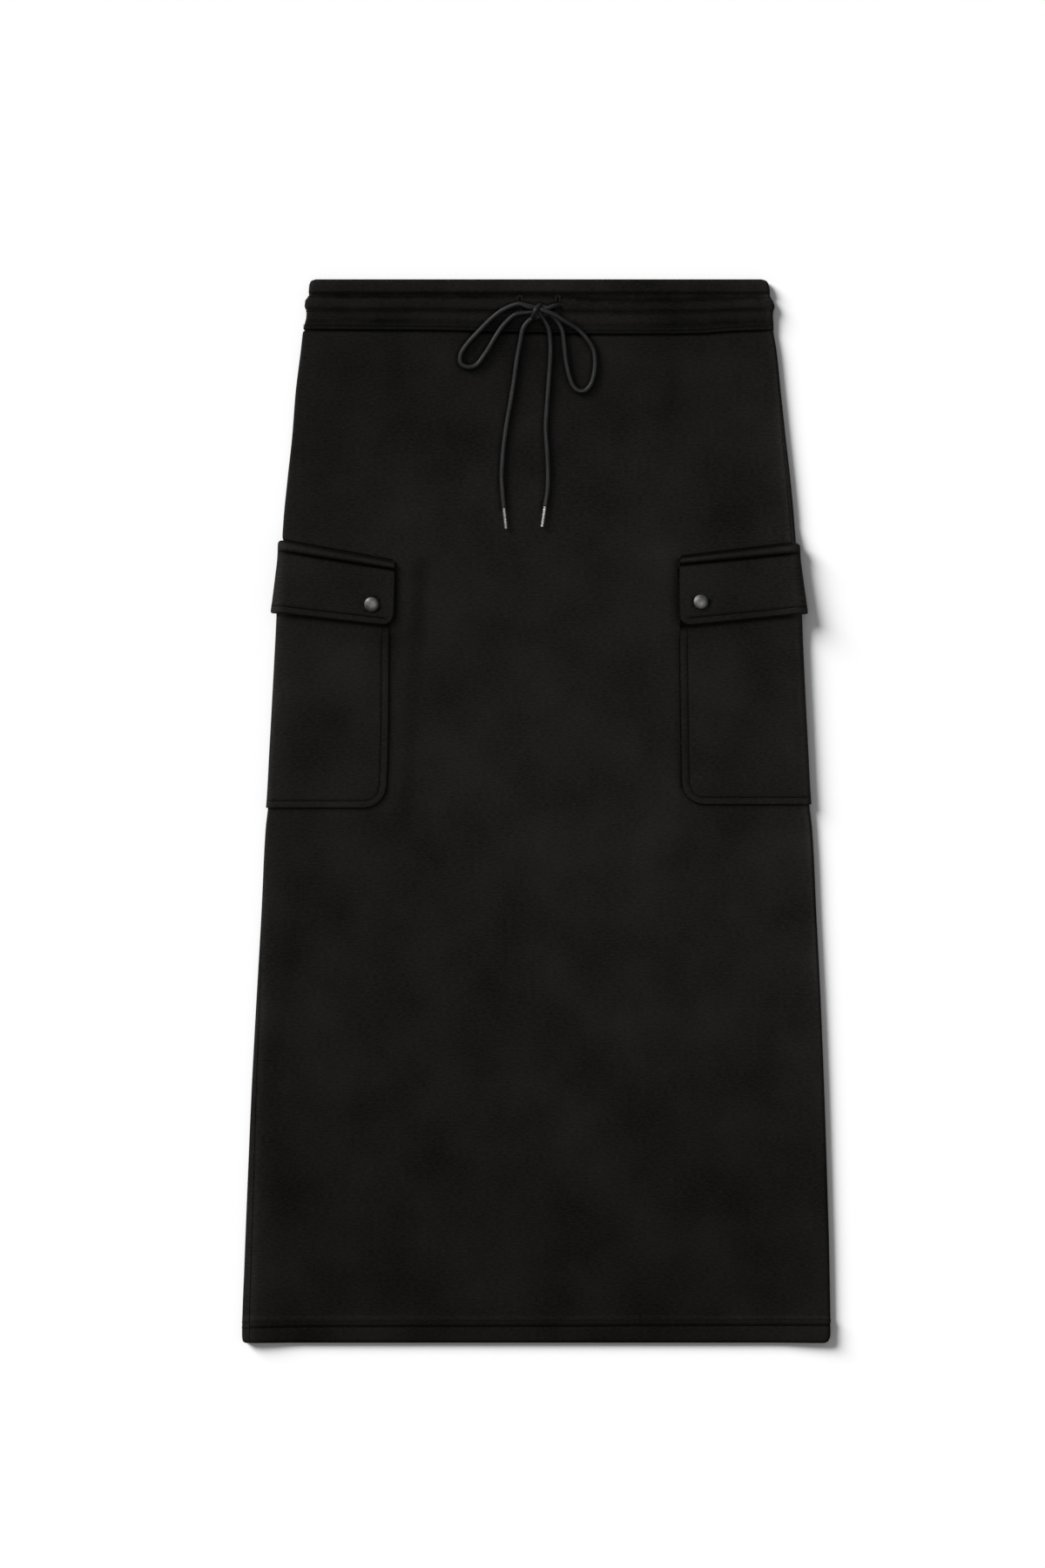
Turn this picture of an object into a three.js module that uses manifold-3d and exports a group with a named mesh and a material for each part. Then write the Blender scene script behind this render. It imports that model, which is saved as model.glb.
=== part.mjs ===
// A cargo utility skirt laid flat on its back: an A-line tube of thick knit with an elastic
// waistband, a drawcord tied in a bow, and a cargo pocket with a flap wrapped round each side.
// Sizes are in millimetres. +X runs across the skirt, +Y to its waist and +Z up from the surface
// that it lies on. The origin is on that surface, at the middle of the length and the width.

import * as THREE from 'three';
import { mergeVertices } from 'three/addons/utils/BufferGeometryUtils.js';
import Module from 'manifold-3d';

const wasm = await Module();
wasm.setup();

// Cloth
const CLOTH = 1.5;
const HEM_CLOTH = 2.3;
const GAP = 0.3;
const PLY = CLOTH + GAP;
const SEAM_HALF_GAP = 0.22;

// Heights of the whole garment
const HEM_Y = -463.2;
const HEM_SEWN_Y = -442.5;
const HEM_STEP_Y = -439.5;
const BAND_SEAM_Y = 418.9;

// The rounded side fold: its depth in X, and how far it lifts the front where it bulges
const FOLD_DEPTH = 3.0;
const FOLD_LIFT = 2.6;
const FOLD_REACH = 46;
const SEAM_SHARE_REACH = 24;

// Pockets and flaps
const POCKET_CORNER = 19;
const FLAP_CORNER = 11;
const LIFT_INNER = 112;
const LIFT_OUTER = 131;
const WELT_HEIGHT = 4.6;
const FLARE_REACH = 26;

// Metal and cord
const SNAP_RADIUS = 6.6;
const SNAP_HEIGHT = 2.3;
const CORD = 4.1;
const CORD_SIDES = 8;
const AGLET_RADIUS = 1.75;
const AGLET_LENGTH = 18.5;

// Where the body's two side folds lie, from hem to waist. The rows beside the pockets are
// narrower by what the pocket adds outside them.
const OUTLINE = [
  { y: -463.2, left: -254.2, right: 252.2 },
  { y: -461.4, left: -255.8, right: 254.6 },
  { y: -456.0, left: -256.4, right: 256.4 },
  { y: -394.8, left: -254.4, right: 255.6 },
  { y: -318.8, left: -251.4, right: 253.5 },
  { y: -242.8, left: -248.1, right: 251.0 },
  { y: -166.8, left: -244.0, right: 248.0 },
  { y: -90.8, left: -239.6, right: 244.2 },
  { y: -14.8, left: -235.8, right: 240.4 },
  { y: 4.2, left: -233.6, right: 238.1 },
  { y: 61.2, left: -230.4, right: 234.9 },
  { y: 137.2, left: -226.2, right: 231.1 },
  { y: 175.2, left: -224.2, right: 229.5 },
  { y: 213.2, left: -222.3, right: 227.2 },
  { y: 251.2, left: -220.5, right: 225.0 },
  { y: 289.2, left: -216.8, right: 221.5 },
  { y: 327.2, left: -212.7, right: 217.2 },
  { y: 365.2, left: -209.7, right: 213.2 },
  { y: 403.2, left: -205.0, right: 209.2 },
  { y: 418.9, left: -203.3, right: 206.6 },
  { y: 470.0, left: -198.0, right: 203.0 },
];

// Cross lines: each one's height at the two side folds, and how far it falls for each mm inwards.
const LINES = [
  { row: -470, leftY: -470, leftFall: 0, rightY: -470, rightFall: 0 },
  { row: -22, leftY: -22, leftFall: 0, rightY: -20, rightFall: 0 },
  { row: 4, leftY: 2.7, leftFall: 0, rightY: 5.7, rightFall: 0 },
  { row: 60, leftY: 60, leftFall: 0.01, rightY: 60, rightFall: 0.01 },
  { row: 172, leftY: 172.1, leftFall: 0.112, rightY: 171.4, rightFall: 0.102 },
  { row: 226, leftY: 226.9, leftFall: 0.161, rightY: 225.0, rightFall: 0.095 },
  { row: 233, leftY: 234.5, leftFall: 0.184, rightY: 232.0, rightFall: 0.119 },
  { row: 250, leftY: 251, leftFall: 0.17, rightY: 250, rightFall: 0.11 },
  { row: 340, leftY: 340, leftFall: 0, rightY: 340, rightFall: 0 },
  { row: 480, leftY: 480, leftFall: 0, rightY: 480, rightFall: 0 },
];

// How far each side seam lies from the outermost line of its fold, measured round the cloth.
// A plus value is on the front.
const SEAMS = [
  { row: -463.2, left: 8.8, right: -5.0 },
  { row: -385, left: 8.0, right: -4.5 },
  { row: -325, left: 7.6, right: -3.5 },
  { row: -260, left: 6.6, right: -2.0 },
  { row: -195, left: 5.6, right: 0.4 },
  { row: -130, left: 3.6, right: 3.0 },
  { row: -70, left: 0.5, right: 3.0 },
  { row: 4, left: -2.0, right: 3.7 },
  { row: 172, left: -3.0, right: 5.0 },
  { row: 250, left: -3.0, right: 5.6 },
  { row: 310, left: -3.0, right: 5.2 },
  { row: 362, left: -3.0, right: 3.2 },
  { row: 418.7, left: -3.0, right: 2.0 },
  { row: 470, left: -3.0, right: 2.0 },
];

// How far round the cloth each pocket and flap reaches from the fold, on the front and the back.
const REACHES = [
  { row: 4, pocketLeft: 103.9, pocketRight: 111.9, flapLeft: 102.4, flapRight: 106.9 },
  { row: 28, pocketLeft: 103.9, pocketRight: 111.5, flapLeft: 102.4, flapRight: 106.9 },
  { row: 172, pocketLeft: 98.9, pocketRight: 107.2, flapLeft: 102.4, flapRight: 106.9 },
  { row: 233, pocketLeft: 98.0, pocketRight: 106.5, flapLeft: 100.9, flapRight: 103.2 },
];
const BACK_REACH = { pocketLeft: 108.9, pocketRight: 103.9, flapLeft: 110.5, flapRight: 107.0 };

// The flap's wall from its free lower edge up to the roll where it is sewn on: how far its
// inner and outer faces stand off the body, on the front.
const FLAP_ROWS = [
  { row: 172, inner: 2.9, outer: 4.0, flare: 3.6 },
  { row: 173.5, inner: 2.5, outer: 4.4, flare: 3.5 },
  { row: 177.5, inner: 2.2, outer: 3.9, flare: 3.2 },
  { row: 183, inner: 2.1, outer: 3.6, flare: 2.7 },
  { row: 205, inner: 2.1, outer: 3.7, flare: 1.0 },
  { row: 222.8, inner: 2.1, outer: 3.5, flare: 0.0 },
  { row: 225, inner: 0.4, outer: 3.1, flare: 0.0 },
  { row: 229, inner: 0.3, outer: WELT_HEIGHT + GAP, flare: 0.0 },
  { row: 232, inner: 0.3, outer: WELT_HEIGHT - 0.8, flare: 0.0 },
  { row: 233.5, inner: 0.5, outer: 2.2, flare: 0.0 },
];

// The waistband from its lower edge to its rolled top: the front's highest level, how far the
// underside leaves the surface, and how far the side folds stand out from the table of outlines.
const BAND_ROWS = [
  { y: 419.2, top: 5.2, under: 0.0, left: 0.0, right: 0.3 },
  { y: 421.8, top: 5.0, under: 0.0, left: -0.2, right: 0.5 },
  { y: 425.0, top: 5.2, under: 0.0, left: -0.8, right: 0.8 },
  { y: 429.8, top: 6.6, under: 0.0, left: -1.6, right: 0.7 },
  { y: 435.4, top: 6.2, under: 0.0, left: -1.2, right: 1.3 },
  { y: 439.8, top: 7.4, under: 0.0, left: 0.8, right: 2.9 },
  { y: 444.2, top: 7.6, under: 0.0, left: 0.8, right: 1.8 },
  { y: 447.6, top: 6.2, under: 0.0, left: -1.2, right: -0.1 },
  { y: 449.4, top: 5.8, under: 0.0, left: -2.0, right: -0.7 },
  { y: 452.6, top: 7.4, under: 0.0, left: -1.5, right: -0.5 },
  { y: 457.4, top: 7.6, under: 0.0, left: -1.4, right: -1.0 },
  { y: 461.4, top: 6.6, under: 0.2, left: -2.4, right: -2.6 },
  { y: 463.2, top: 5.2, under: 0.9, left: -5.4, right: -6.0 },
];

// How far the waistband's stitched lower half dips below a straight line, across the front.
const BAND_DIPS = [
  { x: -210, dip: 0 },
  { x: -100, dip: 0.6 },
  { x: 0, dip: 2.6 },
  { x: 70, dip: 4.0 },
  { x: 140, dip: 3.6 },
  { x: 175, dip: 1.4 },
  { x: 215, dip: 0.4 },
];

// Soft upright folds that the elastic gathers into the front, just below the waistband.
const GATHERS = [
  { x: -170, width: 30, length: 90, height: 0.8 },
  { x: -134, width: 26, length: 130, height: 0.9 },
  { x: -100, width: 24, length: 70, height: 0.7 },
  { x: -72, width: 22, length: 150, height: 0.9 },
  { x: 74, width: 26, length: 80, height: 0.7 },
  { x: 103, width: 26, length: 140, height: 0.9 },
  { x: 138, width: 28, length: 70, height: 0.7 },
  { x: 172, width: 28, length: 110, height: 0.8 },
];

// Columns count mm round the cloth from a side seam towards the middle.
const FOLD_COLUMNS = [2, 4, 6, 8, 10.5, 15, 23, 34, 50];
const FRONT_COLUMNS = [...FOLD_COLUMNS, 70, 90, 113.5, 123, 132.5];
const BACK_COLUMNS = [2, 4, 6, 8, 10.5, 15, 34, 70, 113.5, 123, 132.5];
const BAND_COLUMNS = [2, 4, 6, 8, 10.5, 15, 30, 60, 92];
const POCKET_COLUMNS = [...FOLD_COLUMNS, 84];
const FRONT_MIDDLE = 10;
const BAND_MIDDLE = 8;
const BACK_MIDDLE = 2;

const PANEL_ROWS = [
  HEM_Y, -461.4, -456, HEM_SEWN_Y, HEM_STEP_Y,
  -385, -325, -260, -195, -130, -70,
  -22, -13, -5, 4, 60, 146, 156, 165, 172, 226, 234, 243, 252,
  295, 340, 362, 382, 398, 410, 418.7,
];
const POCKET_ROWS = [4, 5.9, 11, 18, 60, 146, 156, 165, 172, 221.5];

const SIGN = { left: -1, right: 1 };

// Straight-line reading of a table, by one column, as a mix of the rows on each side.
function read(table, by, at, column) {
  let upper = table.findIndex((row) => row[by] >= at);
  if (upper === 0) return table[0][column];
  if (upper < 0) return table[table.length - 1][column];
  const low = table[upper - 1];
  const high = table[upper];
  const share = (at - low[by]) / (high[by] - low[by]);
  return low[column] + share * (high[column] - low[column]);
}

function smooth(share) {
  const s = Math.min(1, Math.max(0, share));
  return s * s * (3 - 2 * s);
}

const ramp = (at, from, to) => smooth((at - from) / (to - from));

// How high the layers under the body lift it: the back halves of the pockets and flaps.
function liftUnder(inward, row) {
  const across = 1 - ramp(inward, LIFT_INNER, LIFT_OUTER);
  const above = 1 - ramp(row, 234, 252);
  const pocket = ramp(row, -22, 3) * above;
  const flap = ramp(row, 148, 170) * above;
  return PLY * across * (pocket + flap);
}

function clothAt(row) {
  return HEM_CLOTH + (CLOTH - HEM_CLOTH) * ramp(row, HEM_SEWN_Y, HEM_STEP_Y);
}

function gatherAt(x, y) {
  let height = 0;
  for (const fold of GATHERS) {
    const across = Math.abs(x - fold.x) / fold.width;
    const along = (BAND_SEAM_Y - y) / fold.length;
    if (across < 1 && along < 1) {
      height += fold.height * Math.cos((across * Math.PI) / 2) ** 2 * (1 - smooth(along));
    }
  }
  return height;
}

// A body section gives, for a distance in from the fold, the levels of the two outer faces.
function bodyLevels(side, inward, row, x, y) {
  const edge = ramp(-row, -HEM_Y - 3, -HEM_Y);
  const low = liftUnder(inward, row) + 0.3 * edge;
  const pocketPress = 1 - 0.4 * ramp(row, -22, 4) * (1 - ramp(row, 234, 260));
  const fold = FOLD_LIFT * pocketPress * (1 - smooth((inward - FOLD_DEPTH) / FOLD_REACH));
  const bandRise = 1.5 * ramp(row, 396, 419);
  const top = low + 2 * clothAt(row) + GAP + Math.max(fold, bandRise) - 1.1 * edge;
  return { low, high: top + (inward > FOLD_DEPTH ? gatherAt(x, y) : 0) };
}

const body = {
  foldDepth: () => FOLD_DEPTH,
  halfX: (side, y) => Math.abs(read(OUTLINE, 'y', y, side)),
  levels: bodyLevels,
  lineY: (side, row) => read(LINES, 'row', row, `${side}Y`),
  fall: (side, row) => read(LINES, 'row', row, `${side}Fall`),
};

// The waistband uses the same section, with its own levels, a round fold and no falling lines.
const band = {
  foldDepth: (row) => (read(BAND_ROWS, 'y', row, 'top') - read(BAND_ROWS, 'y', row, 'under')) / 2,
  halfX: (side, y) => Math.abs(read(OUTLINE, 'y', y, side)) + read(BAND_ROWS, 'y', y, side),
  levels: (side, inward, row) => ({
    low: read(BAND_ROWS, 'y', row, 'under'),
    high: read(BAND_ROWS, 'y', row, 'top'),
  }),
  lineY: (side, row) => row,
  fall: () => 0,
};

// One point of a section's outer face, a distance round the cloth from the fold's outermost
// line, with a plus distance on the front.
function sectionPoint(shape, side, round, row) {
  const depth = shape.foldDepth(row);
  const quarter = depth * 1.62;
  const reach = Math.abs(round);
  const inFold = reach < quarter;
  const angle = (Math.min(reach, quarter) / quarter) * (Math.PI / 2);
  const inward = inFold ? depth * (1 - Math.cos(angle)) : depth + reach - quarter;
  const y = shape.lineY(side, row) - shape.fall(side, row) * Math.min(inward, LIFT_OUTER);
  const x = SIGN[side] * (shape.halfX(side, y) - inward);
  const { low, high } = shape.levels(side, Math.max(inward, depth), row, x, y);
  const middle = (low + high) / 2;
  const half = (high - low) / 2;
  const z = middle + Math.sign(round) * half * (inFold ? Math.sin(angle) : 1);
  return new THREE.Vector3(x, y, z);
}

// The seam carries the columns beside it along as it wanders over the fold.
function roundAt(side, column, row) {
  const share = Math.max(0, 1 - Math.abs(column) / SEAM_SHARE_REACH);
  return column + read(SEAMS, 'row', row, side) * share;
}

// The section's point with its outward direction in the X-Z plane, moved out by an offset.
function offsetPoint(shape, side, column, row, offset, nudge = 0) {
  const round = roundAt(side, column, row) + nudge;
  const point = sectionPoint(shape, side, round, row);
  const ahead = sectionPoint(shape, side, round + 0.05, row);
  const behind = sectionPoint(shape, side, round - 0.05, row);
  const dx = ahead.x - behind.x;
  const dz = ahead.z - behind.z;
  const size = Math.hypot(dx, dz);
  point.x += (SIGN[side] * dz * offset) / size;
  point.z -= (SIGN[side] * dx * offset) / size;
  return point;
}

// A closed wall between two grids of points, each a list of rows.
function wallGeometry(outer, inner) {
  const rows = outer.length;
  const columns = outer[0].length;
  const positions = [];
  for (const grid of [outer, inner]) {
    for (const row of grid) {
      for (const point of row) positions.push(point.x, point.y, point.z);
    }
  }
  const at = (layer, row, column) => layer * rows * columns + row * columns + column;
  const faces = [];
  const quad = (a, b, c, d) => faces.push(a, b, c, a, c, d);
  for (let r = 0; r < rows - 1; r++) {
    for (let c = 0; c < columns - 1; c++) {
      quad(at(0, r, c), at(0, r, c + 1), at(0, r + 1, c + 1), at(0, r + 1, c));
      quad(at(1, r, c), at(1, r + 1, c), at(1, r + 1, c + 1), at(1, r, c + 1));
    }
  }
  for (let c = 0; c < columns - 1; c++) {
    quad(at(0, 0, c), at(1, 0, c), at(1, 0, c + 1), at(0, 0, c + 1));
    const last = rows - 1;
    quad(at(0, last, c), at(0, last, c + 1), at(1, last, c + 1), at(1, last, c));
  }
  for (let r = 0; r < rows - 1; r++) {
    quad(at(0, r, 0), at(0, r + 1, 0), at(1, r + 1, 0), at(1, r, 0));
    const last = columns - 1;
    quad(at(0, r, last), at(1, r, last), at(1, r + 1, last), at(0, r + 1, last));
  }
  const geometry = new THREE.BufferGeometry();
  geometry.setAttribute('position', new THREE.Float32BufferAttribute(positions, 3));
  geometry.setIndex(faces);
  return volumeOf(geometry) < 0 ? turned(geometry) : geometry;
}

function volumeOf(geometry) {
  const p = geometry.attributes.position;
  const index = geometry.index;
  const [a, b, c] = [new THREE.Vector3(), new THREE.Vector3(), new THREE.Vector3()];
  let volume = 0;
  for (let i = 0; i < index.count; i += 3) {
    a.fromBufferAttribute(p, index.getX(i));
    b.fromBufferAttribute(p, index.getX(i + 1));
    c.fromBufferAttribute(p, index.getX(i + 2));
    volume += a.dot(b.cross(c)) / 6;
  }
  return volume;
}

function turned(geometry) {
  const old = geometry.index.array;
  const faces = [];
  for (let i = 0; i < old.length; i += 3) faces.push(old[i], old[i + 2], old[i + 1]);
  geometry.setIndex(faces);
  return geometry;
}

// One half of a tube: from the left seam over the front, or under the back, to the right seam.
// The middle is a straight blend between the two sides, with the gathers added on the front.
function tubeHalf({ shape, rows, columns, middle, face, wallAt, dipAt, gathers }) {
  const direction = face === 'front' ? 1 : -1;
  const layers = ['outer', 'inner'].map((layer) =>
    rows.map((row) => {
      const offset = layer === 'outer' ? 0 : -wallAt(row);
      const sidePoints = (side) => [
        offsetPoint(shape, side, 0, row, offset, direction * SEAM_HALF_GAP),
        ...columns.map((column) => offsetPoint(shape, side, direction * column, row, offset)),
      ];
      const left = sidePoints('left');
      const right = sidePoints('right').reverse();
      const from = left[left.length - 1];
      const to = right[0];
      const between = [];
      for (let i = 1; i < middle; i++) {
        const share = i / middle;
        const point = from.clone().lerp(to, share);
        if (gathers) {
          const carried = (1 - share) * gatherAt(from.x, from.y) + share * gatherAt(to.x, to.y);
          point.z += gatherAt(point.x, point.y) - carried;
        }
        between.push(point);
      }
      const points = [...left, ...between, ...right];
      for (const point of points) point.y -= read(BAND_DIPS, 'x', point.x, 'dip') * dipAt(row);
      return points;
    }));
  return wallGeometry(layers[0], layers[1]);
}

function bodyPanel(face) {
  return tubeHalf({
    shape: body,
    rows: PANEL_ROWS,
    columns: face === 'front' ? FRONT_COLUMNS : BACK_COLUMNS,
    middle: face === 'front' ? FRONT_MIDDLE : BACK_MIDDLE,
    face,
    wallAt: (row) => clothAt(row) - 0.7 * ramp(-row, -HEM_Y - 3, -HEM_Y),
    dipAt: (row) => ramp(row, 340, BAND_SEAM_Y),
    gathers: face === 'front',
  });
}

function bandPanel(face) {
  return tubeHalf({
    shape: band,
    rows: BAND_ROWS.map((row) => row.y),
    columns: BAND_COLUMNS,
    middle: BAND_MIDDLE,
    face,
    wallAt: (row) => (read(BAND_ROWS, 'y', row, 'top') - read(BAND_ROWS, 'y', row, 'under') - GAP) / 2,
    dipAt: (row) => 1 - ramp(row, 440, 452),
    gathers: false,
  });
}

// How far a rounded lower corner draws the upright edge back at a height above the lower edge.
function cornerDraw(radius, above) {
  if (above >= radius) return 0;
  return radius - Math.sqrt(radius * radius - (radius - above) ** 2);
}

// A pocket or flap wraps from its back edge, round the fold, to its front edge.
function wrappedWall(side, piece, rows, corner, offsets) {
  const name = `${piece}${side === 'left' ? 'Left' : 'Right'}`;
  const layers = ['outer', 'inner'].map((layer) =>
    rows.map((row) => {
      const draw = cornerDraw(corner, row - rows[0]);
      const front = read(REACHES, 'row', row, name) - draw;
      const back = BACK_REACH[name] - draw;
      const columns = [
        -back, ...POCKET_COLUMNS.map((column) => -column).reverse(),
        0, ...POCKET_COLUMNS, front,
      ];
      return columns.map((column) => {
        const offset = offsets(row, layer, roundAt(side, column, row));
        return offsetPoint(body, side, column, row, offset);
      });
    }));
  return wallGeometry(layers[0], layers[1]);
}

function pocketWall(side) {
  return wrappedWall(side, 'pocket', POCKET_ROWS, POCKET_CORNER,
    (row, layer) => (layer === 'outer' ? PLY : GAP));
}

// On the back the flap is pressed flat. Its roll is on the front alone, and its free edge flares
// out round the fold.
function flapWall(side) {
  const rows = FLAP_ROWS.map((row) => row.row);
  return wrappedWall(side, 'flap', rows, FLAP_CORNER, (row, layer, round) => {
    const front = ramp(round, -1, 8);
    const atFold = ramp(round, -4.2, -0.6) * (1 - ramp(round, 0, FLARE_REACH));
    const flare = read(FLAP_ROWS, 'row', row, 'flare') * atFold;
    const full = read(FLAP_ROWS, 'row', row, layer);
    const pressed = layer === 'outer' ? 2 * PLY : Math.min(full, PLY + GAP);
    return pressed + (full - pressed) * front + flare;
  });
}

// Height of a flap's outer face at a plan position, for what is set on it.
function flapTop(side, x, y) {
  const inward = Math.abs(read(OUTLINE, 'y', y, side)) - Math.abs(x);
  return bodyLevels(side, inward, 190, x, y).high + read(FLAP_ROWS, 'row', 190, 'outer');
}

// The snap cap: a turned disc with a rolled rim and a low dome, closed underneath.
function snapGeometry() {
  const points = [
    [0, 0], [6.1, 0], [SNAP_RADIUS, 0.6], [6.2, 1.2], [4.6, 1.75],
    [2.4, SNAP_HEIGHT - 0.12], [0, SNAP_HEIGHT],
  ].map(([radius, height]) => new THREE.Vector2(radius, height));
  const geometry = new THREE.LatheGeometry(points, 18);
  geometry.rotateX(Math.PI / 2);
  return geometry;
}

// Drawcord routes, by hand: x, y and height of the cord's middle.
const LEAD_LEFT = [
  [-14.0, 440.6, 6.6], [-12.2, 440.3, 8.6], [-9.8, 439.8, 9.9], [-5.8, 439.0, 10.1],
];
const LEAD_RIGHT = [
  [19.4, 440.2, 6.6], [17.4, 439.8, 8.4], [14.6, 439.0, 9.9], [9.8, 437.4, 10.4],
];
const LOOP_LEFT = [
  [-6.5, 437.8, 14.5], [-14.8, 440.4, 14.4], [-27.0, 436.6, 11.8], [-38.4, 429.0, 9.3],
  [-49.8, 417.6, 7.7], [-60.4, 406.2, 6.9], [-65.8, 397.1, 6.3], [-65.6, 389.7, 6.2],
  [-60.4, 386.5, 6.2], [-52.8, 388.0, 6.2], [-44.5, 397.9, 6.4], [-35.3, 413.1, 7.4],
  [-27.0, 424.5, 8.6], [-17.9, 432.0, 10.0], [-6.5, 433.7, 10.8],
];
const LOOP_RIGHT = [
  [10.5, 432.4, 9.8], [17.1, 427.5, 9.0], [22.4, 419.1, 8.1], [24.4, 406.2, 6.9],
  [26.2, 391.0, 6.2], [29.0, 378.1, 6.1], [32.2, 370.2, 6.1], [36.8, 366.0, 6.1],
  [42.0, 365.9, 6.1], [46.9, 370.2, 6.1], [50.0, 378.6, 6.1], [51.3, 391.0, 6.2],
  [49.8, 401.7, 6.6],
  [43.7, 411.5, 7.6], [36.1, 419.1, 8.9], [25.5, 425.2, 11.6], [15.6, 431.3, 13.6],
  [9.5, 433.6, 14.2],
];
const TAIL_LEFT = [
  [-4.2, 428.3, 9.6], [-11.0, 420.7, 8.2], [-14.1, 407.0, 6.9], [-17.1, 391.0, 6.1],
  [-19.4, 373.5, 6.0], [-22.4, 355.3, 6.0], [-26.2, 333.3, 5.8], [-28.9, 311.2, 5.8],
  [-30.0, 292.2, 5.8], [-29.2, 276.3, 5.8], [-28.0, 264.1, 5.8],
];
const TAIL_RIGHT = [
  [3.6, 432.0, 9.8], [7.6, 426.0, 8.8], [11.0, 419.1, 8.1], [12.5, 406.2, 6.9],
  [12.2, 391.0, 6.1], [11.0, 373.5, 6.0], [9.5, 353.7, 6.0], [8.4, 333.3, 5.8],
  [9.5, 314.3, 5.8], [10.3, 296.8, 5.8], [9.9, 279.3, 5.8], [7.9, 265.4, 5.8],
];
const KNOT = { x: 1.6, y: 434.4, z: 11.2, acrossX: 8.0, acrossY: 4.7, acrossZ: 4.0 };
const KNOT_WRAP = [
  [3.2, 439.6, 10.2], [1.2, 437.8, 13.9], [-0.8, 434.6, 15.3], [-2.2, 431.4, 13.6], [-3.0, 429.4, 10.4],
];

function asCurve(route) {
  const points = route.map(([x, y, z]) => new THREE.Vector3(x, y, z));
  return new THREE.CatmullRomCurve3(points, false, 'centripetal');
}

function cordGeometry(route, steps, diameter = CORD, sides = CORD_SIDES) {
  const ring = [];
  for (let i = 0; i < sides; i++) {
    const angle = ((i + 0.5) / sides) * 2 * Math.PI;
    ring.push(new THREE.Vector2(Math.cos(angle), Math.sin(angle)).multiplyScalar(diameter / 2));
  }
  return new THREE.ExtrudeGeometry(new THREE.Shape(ring), {
    steps, bevelEnabled: false, extrudePath: asCurve(route),
  });
}

function solidOf(geometry) {
  const bare = geometry.clone();
  bare.deleteAttribute('normal');
  bare.deleteAttribute('uv');
  const merged = mergeVertices(bare, 1e-4);
  if (volumeOf(merged) < 0) turned(merged);
  return new wasm.Manifold(new wasm.Mesh({
    numProp: 3,
    vertProperties: new Float32Array(merged.attributes.position.array),
    triVerts: new Uint32Array(merged.index.array),
  }));
}

function geometryOf(solid) {
  const mesh = solid.getMesh();
  const geometry = new THREE.BufferGeometry();
  geometry.setAttribute('position', new THREE.Float32BufferAttribute(mesh.vertProperties, 3));
  geometry.setIndex(Array.from(mesh.triVerts));
  return geometry;
}

// The knot: a squeezed core with one turn of the cord over its front.
function knotSolid(grow) {
  const core = new THREE.SphereGeometry(1, 14, 8);
  core.scale(KNOT.acrossX + grow, KNOT.acrossY + grow, KNOT.acrossZ + grow);
  core.translate(KNOT.x, KNOT.y, KNOT.z);
  return solidOf(core).add(solidOf(cordGeometry(KNOT_WRAP, 8, CORD + 2 * grow)));
}

const knot = knotSolid(0);
const knotRoom = knotSolid(GAP);

function cordPiece(route, steps) {
  return geometryOf(solidOf(cordGeometry(route, steps)).subtract(knotRoom));
}

// The buttonholes: an upright slot, opened wider where the cord comes through.
function buttonholeSolid(x, y, lead) {
  const slot = new THREE.Shape();
  slot.moveTo(-1.0, -6);
  slot.absarc(0, -6, 1.0, Math.PI, 2 * Math.PI);
  slot.lineTo(1.0, 5.4);
  slot.absarc(0, 5.4, 1.0, 0, Math.PI);
  const cut = { depth: 14, bevelEnabled: false, curveSegments: 4 };
  const geometry = new THREE.ExtrudeGeometry(slot, cut);
  geometry.translate(x, y, 1);
  return solidOf(geometry).add(solidOf(cordGeometry(lead, 4, CORD + 1.0)));
}

function tipGeometry(route) {
  const curve = asCurve(route);
  const end = curve.getPoint(1);
  const along = curve.getTangent(1).normalize();
  const points = [
    [0, 0], [AGLET_RADIUS, 0], [AGLET_RADIUS, AGLET_LENGTH - 0.4],
    [AGLET_RADIUS - 0.4, AGLET_LENGTH], [0, AGLET_LENGTH],
  ].map(([radius, height]) => new THREE.Vector2(radius, height));
  const geometry = new THREE.LatheGeometry(points, 12);
  const turn = new THREE.Quaternion().setFromUnitVectors(new THREE.Vector3(0, 1, 0), along);
  geometry.applyQuaternion(turn);
  const start = end.clone().addScaledVector(along, GAP);
  geometry.translate(start.x, start.y, start.z);
  return geometry;
}

const knit = new THREE.MeshStandardMaterial({ color: 0x191918, roughness: 0.85, metalness: 0 });
const cordFinish = new THREE.MeshStandardMaterial({ color: 0x2b2b2b, roughness: 0.9, metalness: 0 });
const gunmetal = new THREE.MeshStandardMaterial({ color: 0x6c6c69, roughness: 0.4, metalness: 1 });

const skirt = new THREE.Group();

function put(name, geometry, material) {
  const mesh = new THREE.Mesh(geometry, material.clone());
  mesh.name = name;
  skirt.add(mesh);
  return mesh;
}

put('front_panel', bodyPanel('front'), knit);
put('back_panel', bodyPanel('back'), knit);

const holes = buttonholeSolid(-14.1, 440.8, LEAD_LEFT).add(buttonholeSolid(19.0, 440.8, LEAD_RIGHT));
put('waistband_front', geometryOf(solidOf(bandPanel('front')).subtract(holes)), knit);
put('waistband_back', bandPanel('back'), knit);

for (const side of ['left', 'right']) {
  put(`pocket_${side}`, pocketWall(side), knit);
  put(`flap_${side}`, flapWall(side), knit);
}

const SNAPS = { left: { x: -143.3, y: 179.7 }, right: { x: 143.3, y: 182.0 } };
for (const side of ['left', 'right']) {
  const { x, y } = SNAPS[side];
  const snap = put(`snap_${side}`, snapGeometry(), gunmetal);
  snap.position.set(x, y, flapTop(side, x, y) + GAP);
}

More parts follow.
